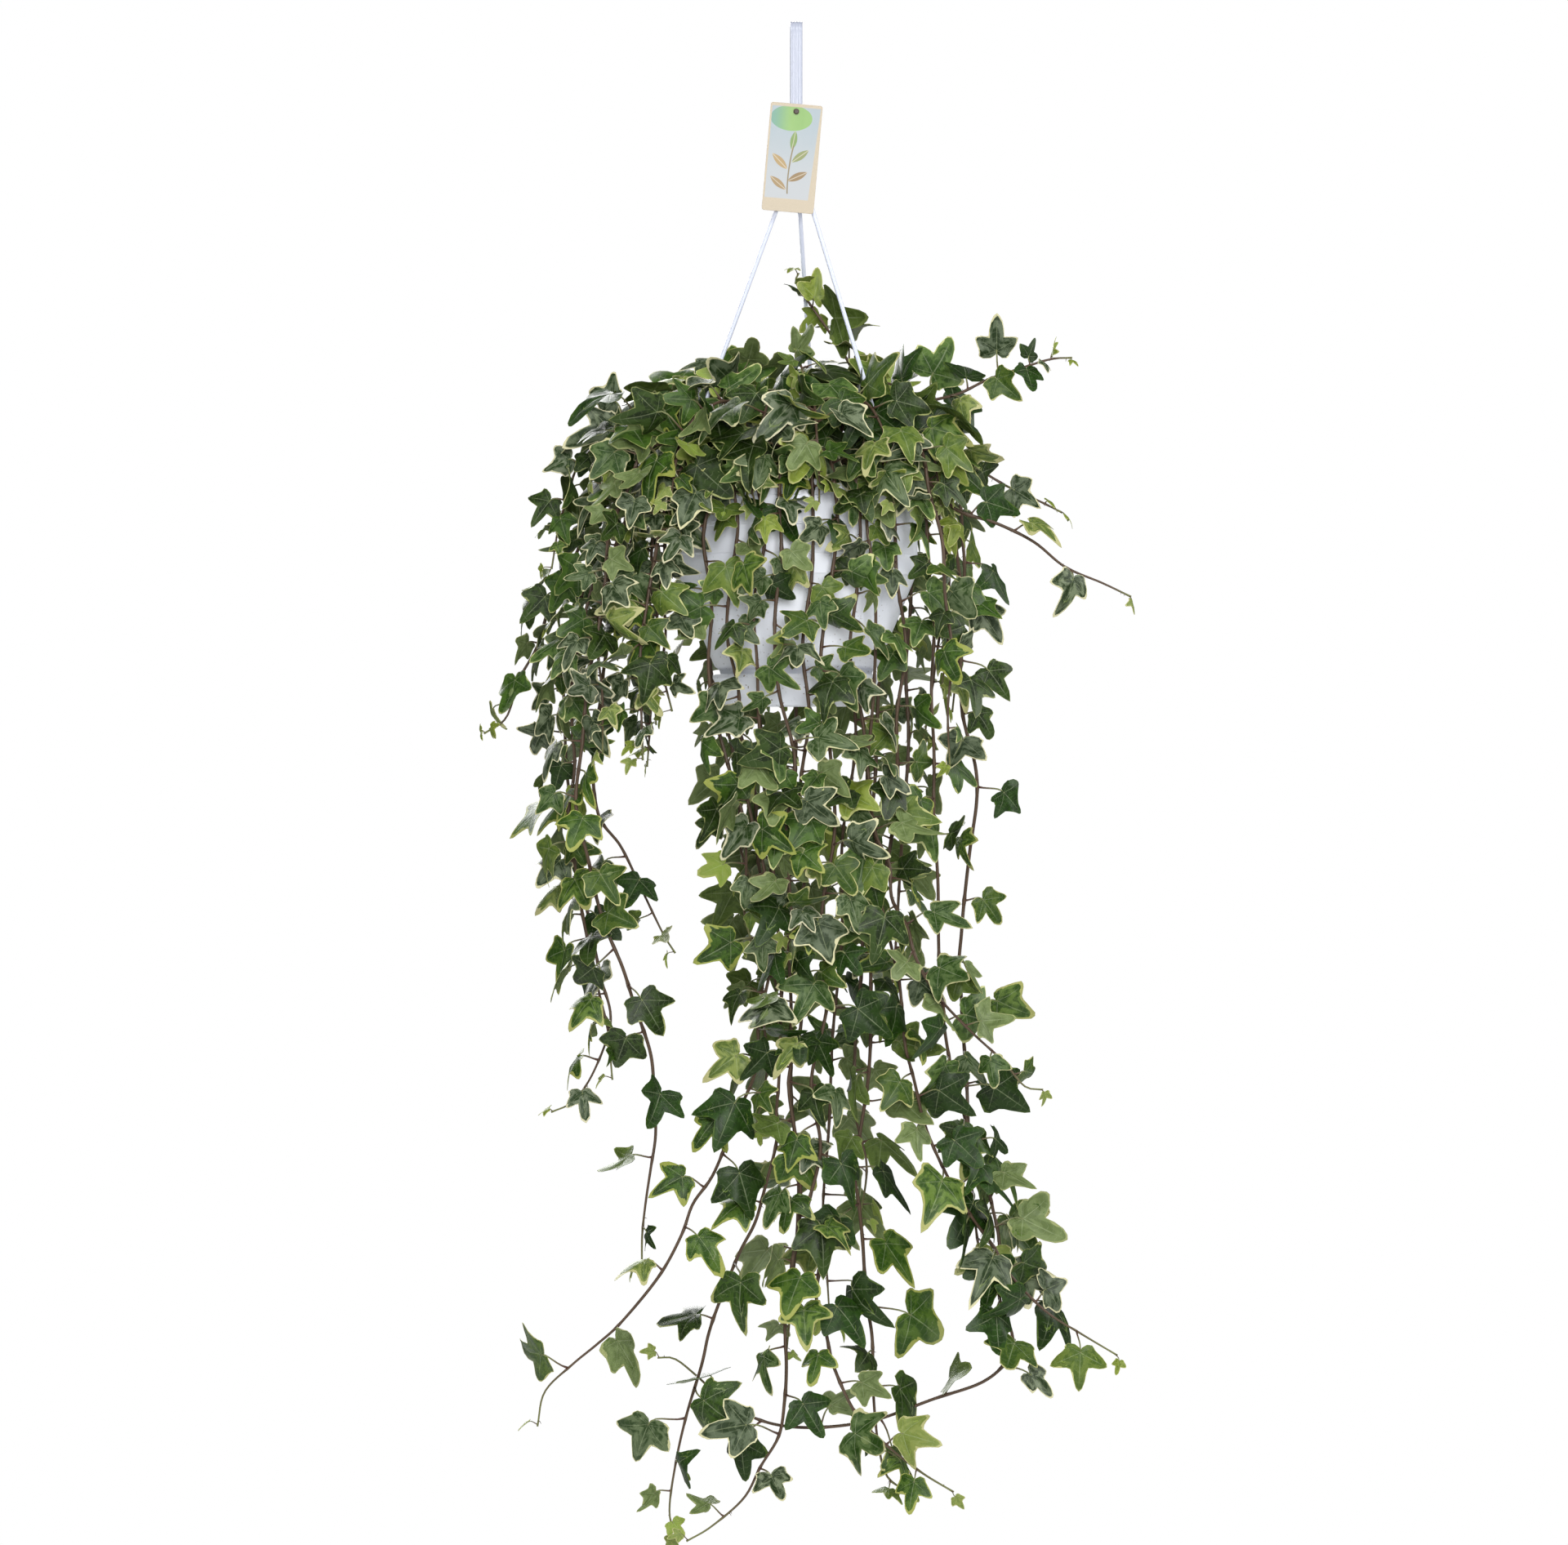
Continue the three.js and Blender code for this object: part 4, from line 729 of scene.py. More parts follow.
def leaves_of(stem, azimuth, spread, route):
    leaves = []

    def add(i, at, size, large, age):
        foot = route.at(at)
        size = size if i == TIP_LEAF else size * stepped(LEAF_SHARES, foot.z)
        size = size * (SHOOT_LEAF if foot.x > SHOOT_FROM and foot.z > THIN_TOP else 1)
        leaf = pose(stem, i, azimuth, foot, route.along(at), size, large)
        leaf.update(stem=stem, number=i, at=at, size=size, large=large, age=age)
        if not left_out(stem, i, foot, large):
            leaves.append(leaf)
        return foot

    at = BARE_START
    i = 0
    while at < route.length - TIP_LEAF_SIZE:
        age = min(1, YOUNGEST + (1 - YOUNGEST) * (route.length - at) / TIP_STRETCH)
        large = draw(stem, i, FOR_SIZE)
        foot = add(i, at, (SMALL_BLADE + BLADE_RANGE * large) * age, large, age)
        gap = leaf_gap(foot, spread) * (GAP_LEAST + GAP_SPREAD * draw(stem, i, FOR_GAP))
        gap *= YOUNG_GAP + OLDER_GAP * age
        if in_front_of_pot(foot) and draw(stem, i, FOR_BETWEEN) < BETWEEN_SHARE:
            size = SMALL_BLADE + BETWEEN_RANGE * draw(stem, i, FOR_BETWEEN_SIZE)
            add(BETWEEN + i, at + gap / 2, size, 0, age)
        at += gap
        i += 1
    add(TIP_LEAF, route.length - BEFORE_END, TIP_LEAF_SIZE, 1, 0)
    return leaves


for number, stem in enumerate(stems):
    stem["leaves"] = leaves_of(number, stem["azimuth"], stem["spread"], stem["route"])
print("leaves:", sum(len(stem["leaves"]) for stem in stems))

# %% [markdown]
# ## The blade's outline
#
# An English ivy leaf has five lobes: a long one at the tip, one to each side and a small one to each side of
# the stalk. Its main veins all run from the stalk, one to each lobe, so the outline is drawn from there: for
# each direction, measured from the tip, how far the margin is. The same two numbers, direction and share of
# the way to the margin, will later place the veins and the cream margin, whatever shape a leaf has.

# %% Outline
LOBE_ANGLES = (0, 62, 113)
HALF_OUTLINE = [
    (0, 1.0), (5, 0.945), (11, 0.84), (19, 0.69), (29, 0.555), (40, 0.545), (50, 0.61), (57, 0.69),
    (62, 0.725), (68, 0.69), (78, 0.57), (90, 0.465), (101, 0.425), (107, 0.435), (113, 0.44),
    (124, 0.395), (143, 0.265), (166, 0.13), (180, 0.05),
]

# How much longer or shorter a leaf's lobes and the bays between them may be, and where, in degrees
SIDE_LOBES, SIDE_LOBE_WIDTH = (-0.14, 0.16), 15
REAR_LOBES, REAR_LOBE_WIDTH = (-0.22, 0.2), 22
BAYS, BAYS_APART, YOUNG_BAY, BAY_ANGLE, BAY_WIDTH = (-0.26, 0.06), (-0.06, 0.06), 0.1, 29, 12
TIP_LOBE, TIP_ANGLE, TIP_WIDTH = (-0.16, 0.1), 14, 8
TEETH, TEETH_TO = (-0.022, 0.022), 140
FANNED, FAN_ANGLE, FAN_WIDTH = (-0.09, 0.07), 70, 45

half_angles = np.array([angle for angle, _ in HALF_OUTLINE], float)
half_radii = np.array([radius for _, radius in HALF_OUTLINE])
disc_angles = np.concatenate([-half_angles[:0:-1], half_angles[:-1]])
base_radii = np.concatenate([half_radii[:0:-1], half_radii[:-1]])
POINTS = len(disc_angles)


def swell(angles, centre, width):
    return np.exp(-(((np.abs(angles) - centre) / width) ** 2))


def outline(dice, age):
    """A leaf's own outline: real angles and radii for the disc's angles. Each lobe has its own length."""
    sides = np.where(disc_angles < 0, 0, 1)
    lobe, rear = dice.uniform(*SIDE_LOBES, 2), dice.uniform(*REAR_LOBES, 2)
    bay = dice.uniform(*BAYS) + dice.uniform(*BAYS_APART, 2)
    change = lobe[sides] * swell(disc_angles, LOBE_ANGLES[1], SIDE_LOBE_WIDTH)
    change += rear[sides] * swell(disc_angles, LOBE_ANGLES[2], REAR_LOBE_WIDTH)
    change += (bay[sides] - YOUNG_BAY * (1 - age)) * swell(disc_angles, BAY_ANGLE, BAY_WIDTH)
    change += dice.uniform(*TIP_LOBE) * swell(disc_angles, TIP_ANGLE, TIP_WIDTH)
    teeth = dice.uniform(*TEETH, POINTS) * (np.abs(disc_angles) < TEETH_TO)
    radii = base_radii * (1 + change + teeth)
    spread = dice.uniform(*FANNED)
    angles = disc_angles * (1 + spread * swell(disc_angles, FAN_ANGLE, FAN_WIDTH))
    return np.radians(angles), radii


print("points round a blade:", POINTS)

# %% [markdown]
# ## The blade itself
#
# A blade is a thin closed shell: rings of points from the stalk to the margin in front, fewer rings behind,
# and a narrow rim between the two. It isn't flat: it folds a little along the middle vein, its side lobes
# and its tip curl back, and the margin waves. A shell of plain arrays is quick to make more than 1,200 times,
# which no modifier would be, and every leaf has a shape of its own, which instances wouldn't have.

# %% Blade
BLADE_THICK = 0.36
FRONT_RINGS = (0.38, 0.74, 1.0)
BACK_RINGS = (0.62, 1.0)

# Mean and spread of what bends a blade, and how much more a young one is folded
TIP_CURL, SIDE_CURL, TWIST, WAVE = (0.24, 0.22), (0.48, 0.36), (0, 0.2), (0.026, 0.012)
FOLD, FOLD_SPREAD, YOUNG_FOLD, SOFT_FOLD = 0.13, 0.13, 0.12, 0.03
WAVES, FULL_TURN = 5, 6.28


def blade_height(x, y, shape):
    """How far a blade stands in front of its plane, as a share of its size, at a place across and along."""
    back = -shape["tip_curl"] * np.clip(y, 0, None) ** 2 - shape["side_curl"] * x ** 2
    return back + shape["fold"] * np.sqrt(x ** 2 + SOFT_FOLD ** 2) + shape["twist"] * x * y


def blade_shape(dice, age):
    return {
        "tip_curl": dice.normal(*TIP_CURL),
        "side_curl": dice.normal(*SIDE_CURL),
        "fold": dice.normal(FOLD + YOUNG_FOLD * (1 - age), FOLD_SPREAD),
        "twist": dice.normal(*TWIST),
        "wave": abs(dice.normal(*WAVE)),
        "turn": dice.uniform(0, FULL_TURN),
    }


def blade_rings(angles, radii, shape, rings):
    """Points of a blade in its own plane: the centre, then ring by ring."""
    rows = [np.zeros((1, 3))]
    for share in rings:
        x, y = np.sin(angles) * radii * share, np.cos(angles) * radii * share
        z = blade_height(x, y, shape)
        z = z + shape["wave"] * share ** 3 * np.sin(WAVES * angles + shape["turn"])
        rows.append(np.stack([x, y, z], axis=1))
    return np.concatenate(rows)


def ring_faces(first, rings):
    """Faces of a fan and of the bands round it, seen from in front."""
    nxt = np.roll(np.arange(POINTS), -1)
    here = np.arange(POINTS)
    centre, ring = first, first + 1
    fan = [(centre, ring + b, ring + a) for a, b in zip(here, nxt)]
    bands = []
    for k in range(rings - 1):
        inner, outer = ring + k * POINTS, ring + (k + 1) * POINTS
        bands += [(inner + a, inner + b, outer + b, outer + a) for a, b in zip(here, nxt)]
    return fan + bands


def disc_places(rings):
    rows = [np.array([[0.0, 0.0]])]
    turn = np.radians(disc_angles)
    for share in rings:
        rows.append(np.stack([np.sin(turn) * share, np.cos(turn) * share], axis=1))
    return np.concatenate(rows)


front_count = 1 + POINTS * len(FRONT_RINGS)
back_count = 1 + POINTS * len(BACK_RINGS)
blade_faces = ring_faces(0, len(FRONT_RINGS))
blade_faces += [tuple(reversed(face)) for face in ring_faces(front_count, len(BACK_RINGS))]
face_count_without_rim = len(blade_faces)
front_edge, back_edge = front_count - POINTS, front_count + back_count - POINTS
for a in range(POINTS):
    b = (a + 1) % POINTS
    blade_faces.append((front_edge + a, front_edge + b, back_edge + b, back_edge + a))
front_discs, back_discs = disc_places(FRONT_RINGS), disc_places(BACK_RINGS)
print("a blade:", front_count + back_count, "points,", len(blade_faces), "faces")

# %% [markdown]
# ## Other ways for a leaf to stand
#
# Leaves lie over each other like tiles but don't grow through each other. So each leaf can also stand rolled,
# raised or lowered on its stalk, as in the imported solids. A few sample points stand for a blade, which is
# much quicker than its mesh. Points inside the pot or the soil count against a way to stand as well.

# %% Other ways for a leaf to stand
ROLLS = (0, 0.35, -0.35, 0.7, -0.7, 1.05, -1.05)
RAISES = (0, 0.45, -0.45)
ONWARD = 0.72
NEAR, CLOSE, CLEAR = 75, 9, 0.6
MIDDLE_UP, OVAL_UP, OVAL_ACROSS, OVAL_ALONG = 0.4, 0.36, 0.5, 0.6
BLOCKED = 3
CURLS = ("tip_curl", "side_curl", "fold", "twist")
INSIDE_RADIUS, ABOVE_SOIL = 94, 3
POT_OUTSIDE = [(-551, 66), (-519, 68), (-429, 99), (-406, 100), (-383, 102), (-369, 103)]
samples = np.array([[x, y] for y in (-0.08, 0.1, 0.28, 0.46, 0.7, 0.92) for x in (-0.42, -0.2, 0, 0.2, 0.42)
                    if abs(x) < 0.56 * (1.12 - y)])


def bent(leaf, turn):
    angle = ROLLS[turn % len(ROLLS)]
    raised = RAISES[turn // len(ROLLS)]
    side = leaf["tip"].cross(leaf["face"])
    roll, lift = Matrix.Rotation(angle, 3, leaf["tip"]), Matrix.Rotation(raised, 3, side)
    face, tip = lift @ (roll @ leaf["face"]), lift @ leaf["tip"]
    reach = Matrix.Rotation(angle / 2, 3, leaf["face"]) @ (leaf["end"] - leaf["foot"])
    onward = reach.normalized()
    tip = (tip + onward * max(0, ONWARD - tip.dot(onward))).normalized()
    return {**leaf, "face": flattened(face, tip), "tip": tip, "end": leaf["foot"] + reach}


def frame_of(leaf):
    """The blade's axes as rows: across, along, in front."""
    return np.array([leaf["tip"].cross(leaf["face"]), leaf["tip"], leaf["face"]])


def curls_of(leaf):
    return [leaf["shape"][key] for key in CURLS]


def sample_points(leaf, axes):
    x, y = samples[:, 0], samples[:, 1]
    z = blade_height(x, y, leaf["shape"])
    return np.array(leaf["end"]) + np.stack([x, y, z], axis=1) @ axes * leaf["size"]


def in_the_way(points):
    """How many points are in the pot's wall or in what it holds."""
    reach = np.hypot(points[:, 0], points[:, 1])
    wall = np.interp(points[:, 2], [z for z, _ in POT_OUTSIDE], [r for _, r in POT_OUTSIDE])
    inside = (reach < wall) & (points[:, 2] > POT_OUTSIDE[0][0]) & (points[:, 2] < POT_OUTSIDE[-1][0])
    above_soil = (reach < INSIDE_RADIUS) & (points[:, 2] > SOIL_TOP + ABOVE_SOIL)
    return int((inside & ~above_soil).sum())


print("ways to stand:", len(ROLLS) * len(RAISES))

# %% [markdown]
# ## Room for every leaf
#
# The largest leaves are placed first. Each leaf is tried in its ways to stand, and it stays where it crosses
# the fewest leaves that are already there. Two blades cross where the points of one lie on both sides of the
# other. All blades near a leaf are compared at once as arrays, which takes seconds, where a physics engine or
# a mesh intersection would take minutes.

# %% Room for every leaf


class Grown:
    """The blades that stand already, as arrays."""

    def __init__(self, room):
        self.count = 0
        self.ends = np.zeros((room, 3))
        self.axes = np.zeros((room, 3, 3))
        self.sizes = np.zeros(room)
        self.curls = np.zeros((room, len(CURLS)))
        self.points = np.zeros((room, len(samples), 3))

    def add(self, leaf):
        i = self.count
        self.ends[i] = leaf["end"]
        self.axes[i] = frame_of(leaf)
        self.sizes[i] = leaf["size"]
        self.curls[i] = curls_of(leaf)
        self.points[i] = sample_points(leaf, self.axes[i])
        self.count += 1

    def crossings(self, leaf):
        axes = frame_of(leaf)
        points = sample_points(leaf, axes)
        blocked = BLOCKED * (in_the_way(points) > 0)
        middle = np.array(leaf["end"]) + axes[1] * MIDDLE_UP * leaf["size"]
        ends = self.ends[:self.count]
        near = np.nonzero(np.abs(ends - middle).max(axis=1) < NEAR)[0]
        if not len(near):
            return blocked
        mine = self.both_sides(points[None], self.ends[near], self.axes[near], self.sizes[near],
                               self.curls[near])
        theirs = self.both_sides(self.points[near], np.array(leaf["end"])[None], axes[None],
                                 np.array([leaf["size"]]), np.array([curls_of(leaf)]))
        return blocked + int((mine | theirs).sum())

    def both_sides(self, points, ends, axes, sizes, curls):
        """Whether points lie on both sides of a blade, within its outline, for each pair."""
        offsets = points - ends[:, None]
        axes = np.broadcast_to(axes, (len(offsets), 3, 3))
        local = np.einsum("kpi,kji->kpj", offsets, axes) / sizes[:, None, None]
        x, y, z = local[..., 0], local[..., 1], local[..., 2]
        tip_curl, side_curl, fold, twist = (curls[:, None, k] for k in range(len(CURLS)))
        surface = -tip_curl * np.clip(y, 0, None) ** 2 - side_curl * x ** 2 + fold * np.abs(x) + twist * x * y
        within = (x / OVAL_ACROSS) ** 2 + ((y - OVAL_UP) / OVAL_ALONG) ** 2 < 1
        gap = (z - surface) * sizes[:, None]
        front = (within & (gap > CLEAR)).any(axis=1)
        behind = (within & (gap < -CLEAR)).any(axis=1)
        return front & behind & (np.abs(np.where(within, gap, np.inf)).min(axis=1) < CLOSE)


def place_leaves():
    grown = Grown(sum(len(stem["leaves"]) for stem in stems))
    left = 0
    order = [(stem, k) for stem in stems for k in range(len(stem["leaves"]))]
    order.sort(key=lambda pair: -pair[0]["leaves"][pair[1]]["large"])
    for stem, k in order:
        leaf = stem["leaves"][k]
        dice = np.random.default_rng(1000 * leaf["stem"] + leaf["number"])
        leaf.update(dice=dice, shape=blade_shape(dice, leaf["age"]))
        fewest = math.inf
        for turn in range(len(ROLLS) * len(RAISES)):
            tried = bent(leaf, turn)
            crossed = grown.crossings(tried)
            if crossed < fewest:
                fewest, best = crossed, tried
            if not crossed:
                break
        left += fewest
        stem["leaves"][k] = best
        grown.add(best)
    return left


print("crossings left among the leaves:", place_leaves())

# %% [markdown]
# ## Which finish a leaf has
#
# This plant has leaves of several colourings: most are marbled grey-green with a cream margin, some are plain
# green, and the newest are yellow-green. All of them are painted in one material on a sheet of 5 by 5 tiles.
# Each tile holds one round leaf, and a blade is laid on it by its direction and its share of the way to the
# margin. So one small sheet colours every leaf, and lobes, veins and margins always fall in place.

# %% Tiles
TILES = 5
TILE_SHARE = 0.46

# For each kind its tiles, as centre, patches, margin and the share of the blade that the margin takes
KINDS = {
    "marbled": [("2a4614", "566c42", "d2d0a6", 0.0), ("26381c", "687662", "dcd8ba", 0.015),
                ("2f4c16", "466426", "b4bc7c", -0.01), ("2a3c20", "76826e", "dcd8be", 0.02),
                ("20320c", "33491b", "a8ae78", -0.02), ("365220", "5d7840", "c8cc98", 0.0),
                ("2c4220", "808c7a", "e0dcc6", 0.03), ("1e300c", "3a5022", "9ca470", -0.03),
                ("304a1c", "68795a", "d6d4b0", 0.01)],
    "edged": [("2e4c12", "587630", "a8ae64", 0.07), ("284210", "466622", "9aa254", 0.05),
              ("38561c", "66803c", "b6b878", 0.09), ("243c0e", "3c581c", "b0b478", 0.01),
              ("344e1a", "58702f", "c0c08a", 0.05)],
    "plain": [("1c340c", "2a4816", "506a26", -0.06), ("182c0a", "263f12", "4c6226", -0.05)],
    "young": [("74882e", "8a9a44", "bcc080", 0.0), ("80924a", "98a65e", "c8c894", 0.02)],
    "fresh": [("50682a", "71863e", "c2c48c", 0.02), ("647a3c", "8a9856", "d2d0a0", 0.05)],
    "under_marbled": [("66784a", "7c8e60", "a8b080", 0.05)],
    "under_plain": [("54692f", "647a3c", "7c8c50", 0.02)],
    "under_young": [("8ca24a", "a0b45c", "b8c274", 0.05)],
    "vine": [("2e2118", "3b2b1d", "2e2118", 0)],
    "stalk": [("6d4a35", "7e5c40", "6d4a35", 0)],
}
UNDERSIDES = {"marbled": "under_marbled", "edged": "under_marbled", "plain": "under_plain",
              "young": "under_young", "fresh": "under_young"}
tile_kinds, tiles_of = [], {}
for kind, kinds in KINDS.items():
    tiles_of[kind] = range(len(tile_kinds), len(tile_kinds) + len(kinds))
    tile_kinds += kinds
VINE_TILE, STALK_TILE = tiles_of["vine"][0], tiles_of["stalk"][0]

print("tiles:", len(tile_kinds))

# %% [markdown]
# ## Which kind a leaf is
#
# The newest leaves are yellow-green, and older ones are marbled, edged or plain by chance. This plant isn't the
# same all over: it is greener low down, darker deep in the column and fresher at its upper right. Inside the
# plant more leaves are plain and dark. That is partly painted shade for the hollows among the stems, and partly
# the darker colour of older inner leaves. So each of those places changes the chances a little.

# %% Which kind a leaf is

# Where a leaf is low, deep in the column, at the upper right, or inside the plant, where dark leaves partly
# paint shade
LOW_FROM, LOW_OVER = -560, 300
COLUMN_TOP, COLUMN_BOTTOM, COLUMN_HALF = -700, -940, 70
UPPER_RIGHT_FROM, UPPER_RIGHT_ABOVE = 30, -430
INNER_FRONT, INNER_BACK, INNER_HALF = -55, 45, 150

# The chance of each kind, tried in this order, and what each of those places adds to it
YOUNG_AGE, YOUNG_CHANCE = 0.5, 0.03
FRESH_AGE, FRESH_CHANCE, FRESH_BY_AGE, FRESH_UPPER_RIGHT = 0.9, 0.08, 0.15, 0.16
PLAIN_CHANCE, PLAIN_LOW, PLAIN_DEEP, PLAIN_INSIDE_SHADE = 0.08, 0.06, 0.26, 0.3
EDGED_CHANCE, EDGED_LOW = 0.15, 0.5


def kind_of(leaf):
    dice, foot, age = leaf["dice"], leaf["foot"], leaf["age"]
    low = min(max((LOW_FROM - foot.z) / LOW_OVER, 0), 1)
    deep = COLUMN_BOTTOM < foot.z < COLUMN_TOP and abs(foot.x) < COLUMN_HALF
    upper_right = foot.x > UPPER_RIGHT_FROM and foot.z > UPPER_RIGHT_ABOVE
    inside = INNER_FRONT < foot.y < INNER_BACK and abs(foot.x) < INNER_HALF
    if age < YOUNG_AGE or dice.random() < YOUNG_CHANCE:
        return "young"
    if dice.random() < FRESH_CHANCE + FRESH_BY_AGE * (age < FRESH_AGE) + FRESH_UPPER_RIGHT * upper_right:
        return "fresh"
    # Inside the plant, plain dark leaves partly paint the shade of the hollows
    if dice.random() < PLAIN_CHANCE + PLAIN_LOW * low + PLAIN_DEEP * deep + PLAIN_INSIDE_SHADE * inside:
        return "plain"
    return "edged" if dice.random() < EDGED_CHANCE + EDGED_LOW * low else "marbled"


def tiles_for(leaf):
    """The tiles of a leaf's upper side and of its underside."""
    kind = kind_of(leaf)
    return int(leaf["dice"].choice(tiles_of[kind])), tiles_of[UNDERSIDES[kind]][0]


def on_tile(tile, places):
    corner = np.array([tile % TILES, tile // TILES]) + 0.5
    return (corner + np.asarray(places) * TILE_SHARE) / TILES


print("kinds of leaf:", len(UNDERSIDES))

# %% [markdown]
# ## One mesh from many parts
#
# A clump has thousands of small parts, and an object for each would be slow. So their points, faces and
# places on the tiles are gathered, and become one mesh at the end. The edge of a blade is sharp, and all else
# is smooth.

# %% Gathering


class Gathered:
    """Points, faces and tile places of many small parts, which become one mesh."""

    def __init__(self):
        self.points, self.faces, self.places, self.count = [], [], [], 0
        self.sharp = []

    def add(self, points, faces, places, sharp=None):
        self.points.append(points)
        self.faces += [tuple(k + self.count for k in face) for face in faces]
        self.places += places
        self.sharp.append(np.zeros(len(points), int) if sharp is None else sharp)
        self.count += len(points)

    def mesh(self, name):
        made = bpy.data.meshes.new(name)
        made.from_pydata((np.concatenate(self.points) * MM).tolist(), [], self.faces)
        made.polygons.foreach_set("use_smooth", [True] * len(self.faces))
        layer = made.uv_layers.new(name="OFBake")
        layer.data.foreach_set("uv", np.concatenate(self.places).ravel())
        flags = np.concatenate(self.sharp)
        pairs = np.empty(2 * len(made.edges), int)
        made.edges.foreach_get("vertices", pairs)
        a, b = flags[pairs[::2]], flags[pairs[1::2]]
        mark = made.attributes.new("sharp_edge", "BOOLEAN", "EDGE")
        mark.data.foreach_set("value", (a > 0) & (a == b))
        made.validate()
        return made


print("parts can be gathered")

# %% [markdown]
# ## Tubes
#
# Stems, stalks and roots are all tubes. A curve with a bevel would make them too, but not with a radius and
# a place on its tile for every ring, so one function makes the rings of a tube along any points.

# %% Tubes
TUBE_SHARE = 0.94


def tube_rings(points, directions, radii, sides):
    points, directions = np.asarray(points, float), np.asarray(directions, float)
    side = np.array([1.0, 0, 0]) if abs(directions[0][2]) > 0.7 else np.array([0, 0, 1.0])
    turn = np.arange(sides) * 2 * np.pi / sides
    rings = []
    for p, along, radius in zip(points, directions, radii):
        side = side - along * side.dot(along)
        side /= np.linalg.norm(side)
        across = np.cross(along, side)
        rings.append(p + radius * (np.cos(turn)[:, None] * side + np.sin(turn)[:, None] * across))
    return np.concatenate(rings)


def tube_faces(rings, sides):
    """The faces of a tube from ring to ring, and its two ends."""
    faces = []
    for i in range(rings - 1):
        for k in range(sides):
            a, b = i * sides + k, i * sides + (k + 1) % sides
            faces.append((a, b, b + sides, a + sides))
    last = (rings - 1) * sides
    return faces + [tuple(range(sides))[::-1], tuple(range(last, last + sides))]


def add_tube(into, points, directions, radii, sides, tile):
    """A tube that is closed at both ends, laid up its tile from foot to end."""
    count = len(radii)
    up = [TUBE_SHARE * (2 * i / (count - 1) - 1) for i in range(count)]
    across = [TUBE_SHARE * (2 * k / sides - 1) for k in range(sides + 1)]
    corners = [[(left, low), (right, low), (right, high), (left, high)]
               for low, high in zip(up, up[1:]) for left, right in zip(across, across[1:])]
    corners += [[(0, up[0])] * sides, [(0, up[-1])] * sides]
    places = [on_tile(tile, corner) for corner in corners]
    into.add(tube_rings(points, directions, radii, sides), tube_faces(count, sides), places)


print("tubes ready")

# %% [markdown]
# ## Stems, stalks and clinging roots
#
# The stems are thin woody vines, a little thicker where a leaf grows, with short stubs of the roots by which
# ivy climbs. A leaf's stalk leaves the stem in a curve, a Bezier one, and holds the blade by its notch.

# %% Stems, stalks and roots
VINE_SIDES, STALK_SIDES, ROOT_SIDES = 6, 5, 3
VINE_STEP, STALK_STEPS = 5, 6
VINE_RADIUS, VINE_TIP_RADIUS, VINE_TAPER = 1.4, 0.75, 150
NODE_SWELLING, NODE_REACH = 0.3, 2.5
STALK_RADIUS, STALK_END_RADIUS, STALK_FOOT = 0.85, 0.65, 1.5
YOUNG_STALK, OLDER_STALK = 0.55, 0.45
LEAVING, LEAVING_OUT, ARRIVING, INTO_BLADE = 0.4, 0.12, 0.36, 0.02
ROOTS_BELOW, ROOT_STUB, ROOT_RADII = 3, 2.6, [0.42, 0.3, 0.14]
ROOT_PLACES, ROOT_MARGIN, ROOT_LENGTHS, ROOT_LEAN = (-9, 3), 5, (0.6, 1.4), 0.3
ROOT_BEND, ROOT_DROOP = 0.6, 0.25


def add_vine(into, stem):
    route = stem["route"]
    count = int(route.length / VINE_STEP)
    marks = [route.length * i / count for i in range(count + 1)]
    nodes = np.array([leaf["at"] for leaf in stem["leaves"]])
    radii = []
    for at in marks:
        full = min((route.length - at) / VINE_TAPER, 1)
        swelling = NODE_SWELLING * math.exp(-(np.abs(nodes - at).min() / NODE_REACH) ** 2)
        radii.append((VINE_TIP_RADIUS + (VINE_RADIUS - VINE_TIP_RADIUS) * full) * (1 + swelling))
    points, directions = [route.at(m) for m in marks], [route.along(m) for m in marks]
    add_tube(into, points, directions, radii, VINE_SIDES, VINE_TILE)


def add_stalk(into, leaf):
    foot, end = np.array(leaf["foot"]), np.array(leaf["end"])
    reach = np.linalg.norm(end - foot)
    tip, face = np.array(leaf["tip"]), np.array(leaf["face"])
    leaving = foot + (end - foot) * LEAVING + face * LEAVING_OUT * reach
    arriving = end - tip * ARRIVING * reach
    end = end + tip * INTO_BLADE * leaf["size"]
    shares = np.linspace(0, 1, STALK_STEPS + 1)[:, None]
    rest = 1 - shares
    points = rest ** 3 * foot + 3 * shares * rest ** 2 * leaving
    points += 3 * shares ** 2 * rest * arriving + shares ** 3 * end
    directions = np.gradient(points, axis=0)
    directions /= np.linalg.norm(directions, axis=1)[:, None]
    thin = YOUNG_STALK + OLDER_STALK * leaf["age"]
    radii = np.linspace(STALK_RADIUS, STALK_END_RADIUS, STALK_STEPS + 1) * thin
    radii[0] *= STALK_FOOT
    add_tube(into, points, directions, radii, STALK_SIDES, STALK_TILE)


def add_root_stubs(into, leaf, route):
    dice = leaf["dice"]
    for _ in range(int(dice.integers(0, ROOTS_BELOW))):
        at = min(max(leaf["at"] + dice.uniform(*ROOT_PLACES), ROOT_MARGIN), route.length - ROOT_MARGIN)
        foot, along = np.array(route.at(at)), np.array(route.along(at))
        out = np.cross(along, dice.normal(size=3))
        out = out / np.linalg.norm(out) + ROOT_LEAN * dice.normal(size=3)
        out /= np.linalg.norm(out)
        long = ROOT_STUB * dice.uniform(*ROOT_LENGTHS)
        points = [foot, foot + out * long * ROOT_BEND, foot + out * long - [0, 0, ROOT_DROOP * long]]
        add_tube(into, points, [out, out, out], ROOT_RADII, ROOT_SIDES, VINE_TILE)


print("stems, stalks and roots ready")

# %% [markdown]
# ## The clumps
#
# Now every clump is made: each stem with its leaves, stalks and roots. A blade's points take their places on
# the tile of its kind, the back's on the tile of its underside. Every other leaf is painted mirrored.

# %% Clumps
RIM_SHARE = 0.97


